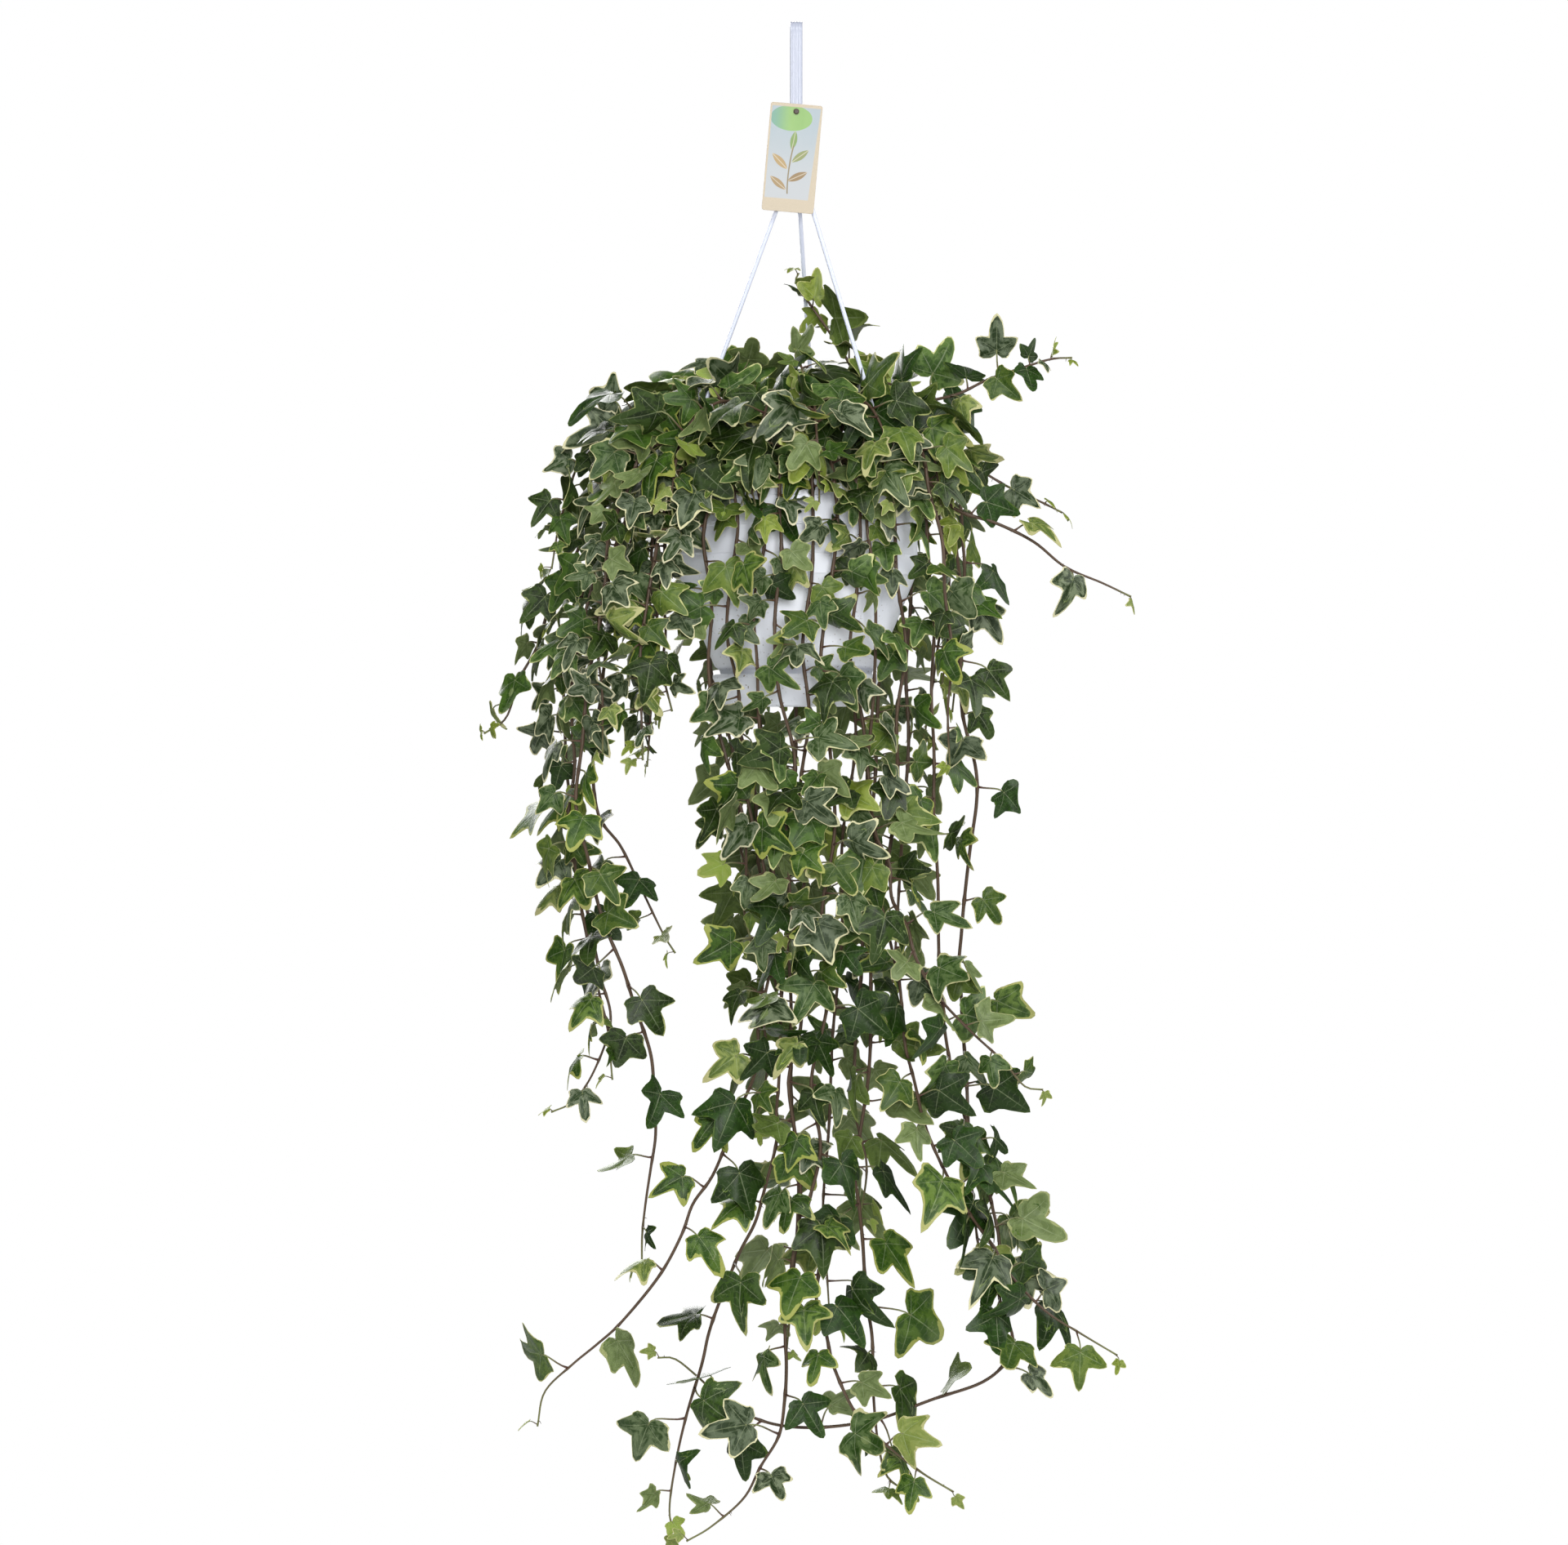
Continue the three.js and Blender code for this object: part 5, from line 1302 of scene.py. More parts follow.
def add_blade(into, leaf, tiles):
    angles, radii = outline(leaf["dice"], leaf["age"])
    shells = [blade_rings(angles, radii, leaf["shape"], rings) for rings in (FRONT_RINGS, BACK_RINGS)]
    points = np.concatenate(shells) @ frame_of(leaf) * leaf["size"]
    thick = np.array(leaf["face"]) * BLADE_THICK / 2
    points[:front_count] += thick
    points[front_count:] -= thick
    points += np.array(leaf["end"])
    above, below = tiles
    mirror = np.array([leaf["dice"].choice([-1, 1]), 1])
    places = np.concatenate([on_tile(above, front_discs * mirror), on_tile(below, back_discs * mirror)])
    flags = np.zeros(len(points), int)
    flags[front_edge:front_count] = 1
    flags[back_edge:] = 2
    rim = on_tile(above, front_discs[-POINTS:] * mirror * RIM_SHARE)
    laid = [places[list(face)] for face in blade_faces[:face_count_without_rim]]
    laid += [rim[[a, (a + 1) % POINTS, (a + 1) % POINTS, a]] for a in range(POINTS)]
    into.add(points, blade_faces, laid, flags)


clump_meshes = []
for clump in range(len(CLUMPS)):
    gathered = Gathered()
    for stem in (stem for stem in stems if stem["clump"] == clump):
        add_vine(gathered, stem)
        for leaf in stem["leaves"]:
            tiles = tiles_for(leaf)
            add_stalk(gathered, leaf)
            add_blade(gathered, leaf, tiles)
            add_root_stubs(gathered, leaf, stem["route"])
    clump_meshes.append(gathered.mesh("ivy_clump_%02d" % (clump + 1)))
triangles = [sum(len(p.vertices) - 2 for p in mesh.polygons) for mesh in clump_meshes]
print("triangles:", sum(triangles), "most in one clump:", max(triangles))

# %% [markdown]
# ## What differs from tile to tile
#
# Each tile has its own centre, patches, margin and width of margin. A ramp with one stop a tile holds each of
# the four, so one set of nodes serves all tiles. A tint brings the listed colours down to what leaves reflect,
# and each stop is a little lighter or darker than its kind, as leaves are.

# %% Ramps
SHADE_LOW, SHADE_HIGH, WIDTH_SPREAD = 0.86, 1.14, 0.03
LEAF_TINT = (0.65, 0.65, 0.54)
shade_dice = np.random.default_rng(5)


def tile_stops(column):
    stops = []
    for tile, kind in enumerate(tile_kinds):
        value = kind[column]
        if isinstance(value, str):
            colour = np.array(srgb(value)) * LEAF_TINT * shade_dice.uniform(SHADE_LOW, SHADE_HIGH)
            value = (*np.clip(colour, 0, 1), 1)
        else:
            value = value + WIDTH_SPREAD * shade_dice.uniform(-1, 1)
        stops.append((tile / len(tile_kinds), value))
    return "CONSTANT", stops


print("tint of the leaves:", LEAF_TINT)

# %% [markdown]
# ## The ivy's finish
#
# The sheet of tiles is painted by numbers: in each tile the distance from the middle is the share of the way
# to the margin, and the angle tells which lobe. From those come the pale main veins, the finer veins that
# leave them, the marbling and the cream margin, whose edge a noise makes ragged. Veins and puckers raise the
# surface a little.

# %% Ivy finish
LOBE_ENDS = (30, 90)
IVY_ROUGHNESS, IVY_SHEEN = 0.34, 0.2
VEIN_SHARE, VEIN_PALENESS, VEIN_PALE = 0.55, 0.34, (0.5, 0.58, 0.34)
MAIN_VEIN, MAIN_VEIN_END, VEIN_WOBBLE = (0.02, 0.004), (1.0, 0.45), 0.02
SIDE_VEINS, SIDE_VEIN_SLOPE, SIDE_VEIN_WOBBLE = 7, 0.85, 0.8
SIDE_VEIN, SIDE_VEIN_END, SIDE_VEIN_SHARE = (0.09, 0.02), (0.42, 0.1), 0.3
MARBLING, CREAM_EDGE = (0.46, 0.68), (0.965, 1.0)
NEW_WOOD, RED_FOOT = (0.8, 0.99), (-0.9, 0.7)
BARK_DARK, BARK_LIGHT, NEW_BARK = (0.03, 0.018, 0.011), (0.13, 0.086, 0.056), (0.17, 0.19, 0.07)
STALK_RED, STALK_GREEN = (0.085, 0.045, 0.035), (0.17, 0.19, 0.08)


def paint_ivy():
    ivy = Finish("ivy")
    sheet = ivy.node("ShaderNodeUVMap", {"uv_map": "OFBake"})
    u, v, _ = ivy.parts(sheet)
    column, row = (u * TILES).floor(), (v * TILES).floor()
    x = ((u * TILES).fraction() - 0.5) / TILE_SHARE
    y = ((v * TILES).fraction() - 0.5) / TILE_SHARE
    tile = (row * TILES + column + 0.5) / len(tile_kinds)
    share = (x * x + y * y).power(0.5)
    turn = x.absolute().direction(y)

    # The nearest lobe's direction, then how far along its vein and how far beside it
    first, second, third = (math.radians(angle) for angle in LOBE_ANGLES)
    second_from, third_from = (math.radians(angle) for angle in LOBE_ENDS)
    lobe = (turn > second_from) * (second - first) + (turn > third_from) * (third - second)
    off = turn - lobe
    along = share * off.cosine()
    beside = (share * off.sine()).absolute()
    place_on = ivy.vector(x, y, tile * 60)
    wobble = ivy.noise(place_on, 6, detail=2) - 0.5
    main = (beside + wobble * VEIN_WOBBLE).step(*MAIN_VEIN) * along.step(*MAIN_VEIN_END)
    ladder = (along - beside * SIDE_VEIN_SLOPE) * SIDE_VEINS + wobble * SIDE_VEIN_WOBBLE
    beside_rung = (ladder.fraction() - 0.5).absolute()
    side_veins = beside_rung.step(*SIDE_VEIN) * beside.step(*SIDE_VEIN_END)
    veins = main.at_least(side_veins * SIDE_VEIN_SHARE)

    ramps = [ivy.node("ShaderNodeValToRGB", {"stops": tile_stops(k)}, {"Fac": tile}) for k in range(4)]
    centre, patch, margin, width = ramps
    marble = ivy.noise(ivy.vector(x * 1.6, y * 1.6, tile * 90), 2.2, detail=3, distortion=0.3)
    marble = marble + beside * 0.3 + share * 0.06
    colour = ivy.mix(marble.step(*MARBLING), centre, patch)
    ragged = ivy.noise(place_on, 2.1, detail=3, distortion=0.6) - 0.5
    fine = ivy.noise(place_on, 7.5, detail=1) - 0.5
    patchy = (ragged - 0.02).at_least(0)
    reach = share + patchy * (width * 5 + 0.55) + fine * 0.05
    edge = (reach + width).step(*CREAM_EDGE)
    woody = tile > VINE_TILE / len(tile_kinds)
    leafy = 1 - woody
    colour = ivy.mix(edge * leafy, colour, margin)
    pale = ivy.mix(VEIN_PALENESS, colour, VEIN_PALE)
    colour = ivy.mix(veins * leafy * VEIN_SHARE, colour, pale)

    # A vine and a stalk run up their tiles from y = -1 to y = 1
    bark = ivy.noise(ivy.vector(x * 2, y * 7, 0), 2, detail=3)
    vine = ivy.mix(y.step(*NEW_WOOD), ivy.mix(bark, BARK_DARK, BARK_LIGHT), NEW_BARK)
    stalk = ivy.mix(y.step(*RED_FOOT), STALK_RED, STALK_GREEN)
    colour = ivy.mix(woody, colour, ivy.mix(tile > STALK_TILE / len(tile_kinds), vine, stalk))
    pucker = ivy.noise(place_on, 5, detail=2)
    ivy.set(Base_Color=colour, Roughness=IVY_ROUGHNESS + pucker * 0.16, Specular_IOR_Level=IVY_SHEEN)
    ivy.bump(pucker * 0.5 - veins * leafy * 0.35, 0.5, 0.0012)
    return ivy.material


ivy_paint = paint_ivy()
for mesh, (_, _, rows) in zip(clump_meshes, CLUMPS):
    place(mesh.name, mesh, ivy_paint, "ivy", *["stem_" + row[0] for row in rows])
print("clumps of ivy:", len(clump_meshes))

# %% [markdown]
# ## Turned pieces with soft corners
#
# Pot and saucer are moulded, and a mould leaves no sharp corner. Each is a profile turned round the upright
# axis: the profile's corners are rounded first, each with its own small radius, and then it is turned in fine
# steps. A lathe in code beats a bevelled cylinder here, because the profile is the drawing of the real piece.

# %% Turning
TURN_STEPS = 144
PLASTIC_IOR = 1.49


def rounded(profile, steps=4):
    """A closed profile of (radius, height, corner radius) with its corners made into arcs."""
    corners = [(np.array(p[:2], float), p[2] if len(p) > 2 else 0) for p in profile]
    out = []
    for i, (here, radius) in enumerate(corners):
        before, after = corners[i - 1][0], corners[(i + 1) % len(corners)][0]
        if not radius:
            out.append(here)
            continue
        a, b = before - here, after - here
        long_a, long_b = np.linalg.norm(a), np.linalg.norm(b)
        reach = min(radius, 0.45 * long_a, 0.45 * long_b)
        start, end = here + a / long_a * reach, here + b / long_b * reach
        for t in np.linspace(0, 1, steps + 1):
            out.append((1 - t) ** 2 * start + 2 * t * (1 - t) * here + t ** 2 * end)
    return np.array(out)


def closed_mesh(name, points, faces, sharp_from=35):
    made = bpy.data.meshes.new(name)
    made.from_pydata((np.asarray(points) * MM).tolist(), [], faces)
    made.validate()
    made.polygons.foreach_set("use_smooth", [True] * len(made.polygons))
    made.set_sharp_from_angle(angle=math.radians(sharp_from))
    return made


def turned(name, profile, bulge=None, steps=TURN_STEPS):
    """A profile that starts and ends on the axis, turned. bulge(radius, height, angle) moves the radius."""
    rows = np.asarray(profile)
    angles = np.arange(steps) * 2 * np.pi / steps
    inner = rows[1:-1]
    points = [[0, 0, rows[0][1]], [0, 0, rows[-1][1]]]
    for radius, height in inner:
        reach = np.full(steps, radius) if bulge is None else bulge(radius, height, angles)
        ring = [reach * np.cos(angles), reach * np.sin(angles), np.full(steps, height)]
        points += np.stack(ring, axis=1).tolist()
    faces = []
    last = 2 + (len(inner) - 1) * steps
    for k in range(steps):
        n = (k + 1) % steps
        faces += [(0, 2 + n, 2 + k), (1, last + k, last + n)]
        for i in range(len(inner) - 1):
            a = 2 + i * steps
            faces.append((a + k, a + n, a + n + steps, a + k + steps))
    return closed_mesh(name, points, faces)


print("turning in", TURN_STEPS, "steps")

# %% [markdown]
# ## Moulded plastic
#
# The pot is white polypropylene with a cool cast: slightly glossy, never flat. What makes it real is small:
# faint cloudiness, fine vertical scuffs where pots are stacked, and a little soil dust towards the foot. All
# of it comes from noise in the piece's own coordinates, stretched where the marks run one way.

# %% Plastic finish
DUSTY_FROM, DUSTY_TO = -430, -560
DUST = (0.2, 0.15, 0.11)
POT_WHITE, POT_SHADE = "f2f5fd", "e6eaf6"
SCUFF, SPECK, CLOUD = (0.62, 0.78), (0.68, 0.76), (0.35, 0.7)
CLOUD_SHARE, SCUFF_TINT = 0.55, 0.82


def plastic(name, colour, shade, roughness, scuffs, dust):
    finish = Finish(name)
    where = finish.here()
    x, y, z = finish.parts(where)
    cloud = finish.noise(where, 14, detail=3)
    scuff = finish.noise(finish.vector(x * 260, y * 260, z * 18), 1, detail=2).step(*SCUFF)
    speck = finish.noise(where, 420, detail=1).step(*SPECK)
    low = z.step(DUSTY_FROM * MM, DUSTY_TO * MM)
    base = finish.mix(cloud.step(*CLOUD) * CLOUD_SHARE, colour, shade)
    base = finish.mix(scuff * scuffs, base, finish.tint(shade, SCUFF_TINT))
    base = finish.mix(speck * (0.3 + low) * dust, base, DUST)
    finish.set(Base_Color=base, Roughness=roughness + cloud * 0.12 + scuff * 0.15, IOR=PLASTIC_IOR)
    finish.bump(cloud * 0.4 + finish.noise(where, 900, detail=1) * 0.12, 0.15, 0.0006)
    return finish.material


pot_plastic = plastic("pot_plastic", srgb(POT_WHITE), srgb(POT_SHADE), roughness=0.36, scuffs=0.3, dust=0.7)
print("plastic ready")

# %% [markdown]
# ## The pot
#
# The pot has an upright collar below its rim, ribbed all round so that a wet hand can hold it, a plain band,
# a fine step and then a taper to a narrow foot. Its wall is thin, so the inside is drawn as well. The ribs
# are made by moving the collar's points in and out as it is turned, which keeps the wall one skin. Three
# round drain holes are cut through the floor.

# %% Pot
COLLAR_RADIUS, RIB_TOP, RIB_BOTTOM = 99.4, -383.9, -404.6
RIB_HEIGHT, RIB_COUNT = 0.9, 36
DRAIN_AZIMUTHS, DRAIN_RADIUS, DRAIN_RING, FLOOR_MIDDLE = (30, 150, 270), 4, 34, -547.5
PEG_SIDES, PEG_LENGTH = 24, 20

pot_profile = [
    (0, -548.7), (55, -548.7, 2), (62, -522, 1), (66, -519, 1.2), (96.1, -447.2, 0.3), (96.4, -446.5, 0.3),
    (97.1, -445.6, 0.3), (97.1, -429.9, 0.4), (98, -429, 0.5), (98, -407, 0.3), (99.4, -406.5, 0.4),
    (99.4, -405.2), (99.4, -404.4), (99.4, -384), (99.4, -383.2), (99.4, -376.2, 0.3), (101, -375.2, 0.5),
    (101, -371, 1.1), (97.6, -371, 1.1), (97, -403.5, 1), (94.7, -429, 0.5), (63.6, -516, 0.5),
    (59.6, -519, 1), (52.6, -546.3, 1.5), (0, -546.3),
]


def ribs(radius, height, angles):
    if radius < COLLAR_RADIUS - 0.2 or not RIB_BOTTOM < height < RIB_TOP:
        return np.full(len(angles), float(radius))
    wave = np.clip(1.4 * np.cos(angles * RIB_COUNT), -1, 1) * 0.5 + 0.5
    return radius + RIB_HEIGHT * wave


def solved(holder):
    """The mesh that an object has once its modifiers or its curve's thickness are applied."""
    return bpy.data.meshes.new_from_object(holder.evaluated_get(bpy.context.evaluated_depsgraph_get()))


def cut_round_holes(mesh, centres, radius, height):
    """Drain holes: a Boolean modifier with upright pegs, applied at once."""
    holder = linked("cut", mesh)
    for x, y in centres:
        bpy.ops.mesh.primitive_cylinder_add(vertices=PEG_SIDES, radius=radius * MM, depth=PEG_LENGTH * MM,
                                            location=(x * MM, y * MM, height * MM))
        peg = bpy.context.object
        step = holder.modifiers.new("hole", "BOOLEAN")
        step.object, step.operation, step.solver = peg, "DIFFERENCE", "EXACT"
        made = solved(holder)
        holder.modifiers.clear()
        holder.data = made
        bpy.data.objects.remove(peg)
    bpy.data.objects.remove(holder)
    return made


drains = [tuple(around(azimuth, DRAIN_RING, 0))[:2] for azimuth in DRAIN_AZIMUTHS]
turned_pot = turned("pot", rounded(pot_profile), ribs, 2 * TURN_STEPS)
pot_mesh = cut_round_holes(turned_pot, drains, DRAIN_RADIUS, FLOOR_MIDDLE)
pot_mesh.materials.clear()
place("white_pot", pot_mesh, pot_plastic, "pot_plastic", "pot")
print("pot faces:", len(pot_mesh.polygons))

# %% [markdown]
# ## The saucer
#
# A drip saucer is clipped under the pot. It is turned in the same way, because it is round too: a flat floor
# with a low foot ring, a flared wall and a rolled lip.

# %% Saucer
saucer_profile = [
    (0, -550.2), (50, -550.2, 0.4), (51, -551, 0.3), (57.6, -551, 1), (66.9, -529.5, 0.8),
    (67.5, -528.8, 0.5), (67.5, -525.5, 0.9), (65.7, -525.5, 0.9), (56.2, -549, 1), (0, -549),
]
saucer_mesh = turned("saucer", rounded(saucer_profile))
place("drip_saucer", saucer_mesh, pot_plastic, "pot_plastic", "saucer")
print("saucer faces:", len(saucer_mesh.polygons))

# %% [markdown]
# ## The soil
#
# Potting soil fills the pot nearly to the rim. Its top is crumbly, so the upper points of a turned body are
# moved a little at random, which a displacement texture would do no better, and the finish adds dark fibres
# and a few white grains of perlite.

# %% Soil
SOIL_EDGE, SOIL_DOME, SOIL_STEP = 96.7, 1.6, 3
CRUMB_HEIGHTS, CRUMB_SHIFTS, CRUMBS_FROM = (-1.6, 2.2), (-0.9, 0.9), 1.5
EARTH_DARK, EARTH_LIGHT = (0.012, 0.008, 0.006), (0.07, 0.045, 0.03)
FIBRE, FIBRE_SHARE, PERLITE = (0.1, 0.065, 0.04), 0.6, (0.6, 0.58, 0.54)
soil_rows = [(0, -546), (51.9, -546), (59.3, -520), (62.8, -516), (94.3, -429), (SOIL_EDGE, -404),
             (SOIL_EDGE, -394), (SOIL_EDGE - 0.8, -392.6)]
for radius in range(94, 0, -SOIL_STEP):
    soil_rows.append((radius, SOIL_TOP + SOIL_DOME * (1 - (radius / SOIL_EDGE) ** 2)))
soil_mesh = turned("soil", soil_rows + [(0, SOIL_TOP + SOIL_DOME)])
soil_dice = np.random.default_rng(11)
crumbs = np.empty(3 * len(soil_mesh.vertices))
soil_mesh.vertices.foreach_get("co", crumbs)
crumbs = crumbs.reshape(-1, 3)
within = np.hypot(crumbs[:, 0], crumbs[:, 1]) < (SOIL_EDGE - 3) * MM
top = within & (crumbs[:, 2] > (SOIL_TOP - CRUMBS_FROM) * MM)
crumbs[top, 2] += soil_dice.uniform(*CRUMB_HEIGHTS, top.sum()) * MM
crumbs[top, :2] += soil_dice.uniform(*CRUMB_SHIFTS, (top.sum(), 2)) * MM
soil_mesh.vertices.foreach_set("co", crumbs.ravel())
soil_mesh.update()


def paint_soil():
    soil = Finish("soil")
    where = soil.here()
    crumb = soil.noise(where, 160, detail=4, roughness=0.7)
    fibre = soil.noise(where, 55, detail=3, distortion=1.4).step(0.56, 0.64)
    grain = soil.noise(where, 330, detail=0).step(0.73, 0.76)
    colour = soil.mix(crumb, EARTH_DARK, EARTH_LIGHT)
    colour = soil.mix(fibre * FIBRE_SHARE, colour, FIBRE)
    colour = soil.mix(grain, colour, PERLITE)
    soil.set(Base_Color=colour, Roughness=0.95)
    soil.bump(crumb, 0.9, 0.003)
    return soil.material


place("potting_soil", soil_mesh, paint_soil(), "soil", "soil")
print("soil faces:", len(soil_mesh.polygons))

# %% [markdown]
# ## The hanger's strap and hook
#
# One moulding of clear-white plastic carries it all: a flat strap that bends over into a hook, a hub, and
# three long thin arms with a clip at each foot that saddles the rim. Strap and arms are swept: a drawn
# section follows a line. The strap's section has the fine lengthwise ridges that stiffen the real one, which
# a bevelled curve could not have.

# %% Strap and hook
HOOK_RADIUS, STRAP_THICK, STRAP_WIDTH = 7, 2.4, 10
RIDGE_HEIGHT, RIDGES, RIDGE_POINTS = 0.14, 4, 25
HUB_Z, HUB_HEIGHT, HUB_WIDE, HUB_NARROW = -110, 12, 6.5, 4.5
STRAP_FOOT, STRAP_STRAIGHT_Z, BEND_POINTS = 8, -84, 19
HOOK_TAIL_Z, HOOK_FLARE, HOOK_FLARE_HEIGHT = -36, 2, 6


def swept(points, sides, section):
    """A closed section carried along points. sides gives each point's across direction."""
    points, sides = np.asarray(points, float), np.asarray(sides, float)
    along = np.gradient(points, axis=0)
    along /= np.linalg.norm(along, axis=1)[:, None]
    rings = []
    for p, side, direction in zip(points, sides, along):
        side = side - direction * side.dot(direction)
        side /= np.linalg.norm(side)
        up = np.cross(direction, side)
        rings.append([p + side * u + up * v for u, v in section])
    return np.concatenate(rings), tube_faces(len(rings), len(section))


def strap_section():
    """The strap's section: ridges across the front and the back, rounded sides."""
    half, thick = STRAP_WIDTH / 2, STRAP_THICK / 2
    across = np.linspace(-half + 0.5, half - 0.5, RIDGE_POINTS)
    ridge = RIDGE_HEIGHT * np.cos(across / (STRAP_WIDTH - 1) * 2 * np.pi * RIDGES)
    front = [(u, thick - RIDGE_HEIGHT + r) for u, r in zip(across, ridge)]
    back = [(u, -thick + RIDGE_HEIGHT - r) for u, r in zip(across[::-1], ridge[::-1])]
    right, left = [(half, thick * 0.5), (half, -thick * 0.5)], [(-half, -thick * 0.5), (-half, thick * 0.5)]
    return [*front, *right, *back, *left][::-1]


def strap_line():
    """The strap's middle line seen from +X, from the hub up the front, over the top and down behind."""
    middle = HOOK_RADIUS + STRAP_THICK / 2
    line = [(0, HUB_Z), (0, HUB_Z + STRAP_FOOT - 2), (-0.8, HUB_Z + STRAP_FOOT + 1)]
    line += [(-middle + 0.8, STRAP_STRAIGHT_Z - 3), (-middle, STRAP_STRAIGHT_Z + 1)]
    line += [(-middle, z) for z in range(STRAP_STRAIGHT_Z + 8, -HOOK_RADIUS, 8)]
    bend = np.linspace(math.pi, 0, BEND_POINTS)
    line += [(middle * math.cos(a), middle * math.sin(a) - HOOK_RADIUS) for a in bend]
    line += [(middle, z) for z in (-14, -22, HOOK_TAIL_Z + HOOK_FLARE_HEIGHT + 1)]
    line += [(middle + 0.5, HOOK_TAIL_Z + HOOK_FLARE_HEIGHT - 2), (middle + HOOK_FLARE, HOOK_TAIL_Z)]
    return [(0, y, z) for y, z in line]


strap = swept(strap_line(), [(1, 0, 0)] * len(strap_line()), strap_section())
print("strap faces:", len(strap[1]))

# %% [markdown]
# ## The hanger's arms and clips
#
# Three round arms run straight from the hub to the rim. Each ends in a clip, a bent plate whose outline is
# drawn from the side, with rounded corners, and carried across its width. Strap, hub, arms and clips are
# closed bodies that reach into each other, in one mesh: the joints lie inside the plastic and don't show.

# %% Arms and clips
ARM_AZIMUTHS, ARM_RADIUS, ARM_SIDES, ARM_POINTS = (-40, 80, 200), 1.7, 12, 9
LIP_RADIUS, RIM_WIDTH, CLIP_PLAY, CLIP_PLATE = 101, 3.4, 1.1, 2.2
CLIP_WIDTH, CLIP_DROP, CLIP_INNER_DROP = 9, 14, 10


def clip_outline():
    inner, outer, seat = LIP_RADIUS - RIM_WIDTH - CLIP_PLAY, LIP_RADIUS + GAP, RIM_TOP + GAP
    return rounded([
        (inner - CLIP_PLATE, seat - CLIP_INNER_DROP, 0.8), (inner, seat - CLIP_INNER_DROP, 0.8),
        (inner, seat, 0.5), (outer, seat, 0.5), (outer, seat - CLIP_DROP, 0.8),
        (outer + CLIP_PLATE, seat - CLIP_DROP, 0.8), (outer + CLIP_PLATE, seat + CLIP_PLATE, 1.4),
        (inner - CLIP_PLATE, seat + CLIP_PLATE, 1.4),
    ])


def arm_parts(azimuth):
    start = np.array(around(azimuth, 2, HUB_Z - 2))
    end = np.array(around(azimuth, LIP_RADIUS + GAP + CLIP_PLATE / 2, RIM_TOP + GAP + CLIP_PLATE / 2))
    across = np.array(UP.cross(around(azimuth, 1, 0)))
    line = [start + (end - start) * t for t in np.linspace(0, 1, ARM_POINTS)]
    turn = np.arange(ARM_SIDES) * 2 * np.pi / ARM_SIDES
    circle = [(ARM_RADIUS * math.cos(a), ARM_RADIUS * math.sin(a)) for a in turn]
    arm = swept(line, [across] * len(line), circle)
    out = np.array(around(azimuth, 1, 0))
    low, high = -across * CLIP_WIDTH / 2, across * CLIP_WIDTH / 2
    rim = [out * r + np.array([0, 0, z]) for r, z in clip_outline()]
    count = len(rim)
    clip_points = np.array([p + low for p in rim] + [p + high for p in rim])
    clip_faces = [(k, k + count, (k + 1) % count + count, (k + 1) % count) for k in range(count)]
    clip_faces += [tuple(range(count)), tuple(range(count, 2 * count))[::-1]]
    return [arm, (clip_points, clip_faces)]


def joined(name, parts, sharp_from=40):
    points, faces, count = [], [], 0
    for part_points, part_faces in parts:
        points.append(part_points)
        faces += [tuple(k + count for k in face) for face in part_faces]
        count += len(part_points)
    return closed_mesh(name, np.concatenate(points), faces, sharp_from)


def hub_part():
    low, high = HUB_Z - HUB_HEIGHT / 2, HUB_Z + HUB_HEIGHT / 2
    profile = rounded([(0, low), (HUB_WIDE, low, 1.2), (HUB_NARROW, high, 1.2), (0, high)])
    mesh = turned("hub", profile, steps=32)
    points = np.array([v.co for v in mesh.vertices]) / MM
    faces = [tuple(p.vertices) for p in mesh.polygons]
    bpy.data.meshes.remove(mesh)
    return points, faces


hanger_parts = [strap, hub_part()]
for azimuth in ARM_AZIMUTHS:
    hanger_parts += arm_parts(azimuth)
hanger_mesh = joined("hanger", hanger_parts)
print("hanger faces:", len(hanger_mesh.polygons))

# %% [markdown]
# ## The hanger's finish
#
# The plastic is glossier than the pot's, with faint streaks along the flow of the mould. Above the hub, strap
# and hook are painted a little darker than the round arms, with one soft step at the hub: a painted shade that
# tones down the stronger light they get from above.

# %% Hanger finish
STRAP_PAINTED_SHADE = 0.3
STREAK_DARK, STREAK_LIGHT, MILKY, MILKY_SHARE = "c3c9da", "cacfdf", "b9c1d4", 0.4


def paint_hanger():
    clear = Finish("hanger_plastic")
    where = clear.here()
    x, y, z = clear.parts(where)
    streak = clear.noise(clear.vector(x * 600, y * 600, z * 12), 1, detail=2)
    cloud = clear.noise(where, 60, detail=2)
    colour = clear.mix(streak, srgb(STREAK_DARK), srgb(STREAK_LIGHT))
    colour = clear.mix(cloud.step(0.55, 0.75) * MILKY_SHARE, colour, srgb(MILKY))
    # Painted shade: strap and hook, above the hub, are darkened against the stronger light from above
    painted_shade_above_hub = z.step(HUB_Z * MM, (HUB_Z + HUB_HEIGHT) * MM)
    colour = clear.tint(colour, 1 - painted_shade_above_hub * STRAP_PAINTED_SHADE)
    clear.set(Base_Color=colour, Roughness=0.22 + cloud * 0.12, IOR=PLASTIC_IOR)
    clear.bump(streak, 0.08, 0.0004)
    return clear.material


place("clip_on_hanger", hanger_mesh, paint_hanger(), "hanger_plastic", "hanger")
print("hanger placed")

# %% [markdown]
# ## The care tag
#
# A card hangs in front of the strap on a push pin. It is a thin plate with rounded corners and a round hole,
# made as a flat curve with a thickness, because a filled curve takes the hole as one more loop. The card's
# own map says where each point lies across and up the front. The back takes one bare strip of it.

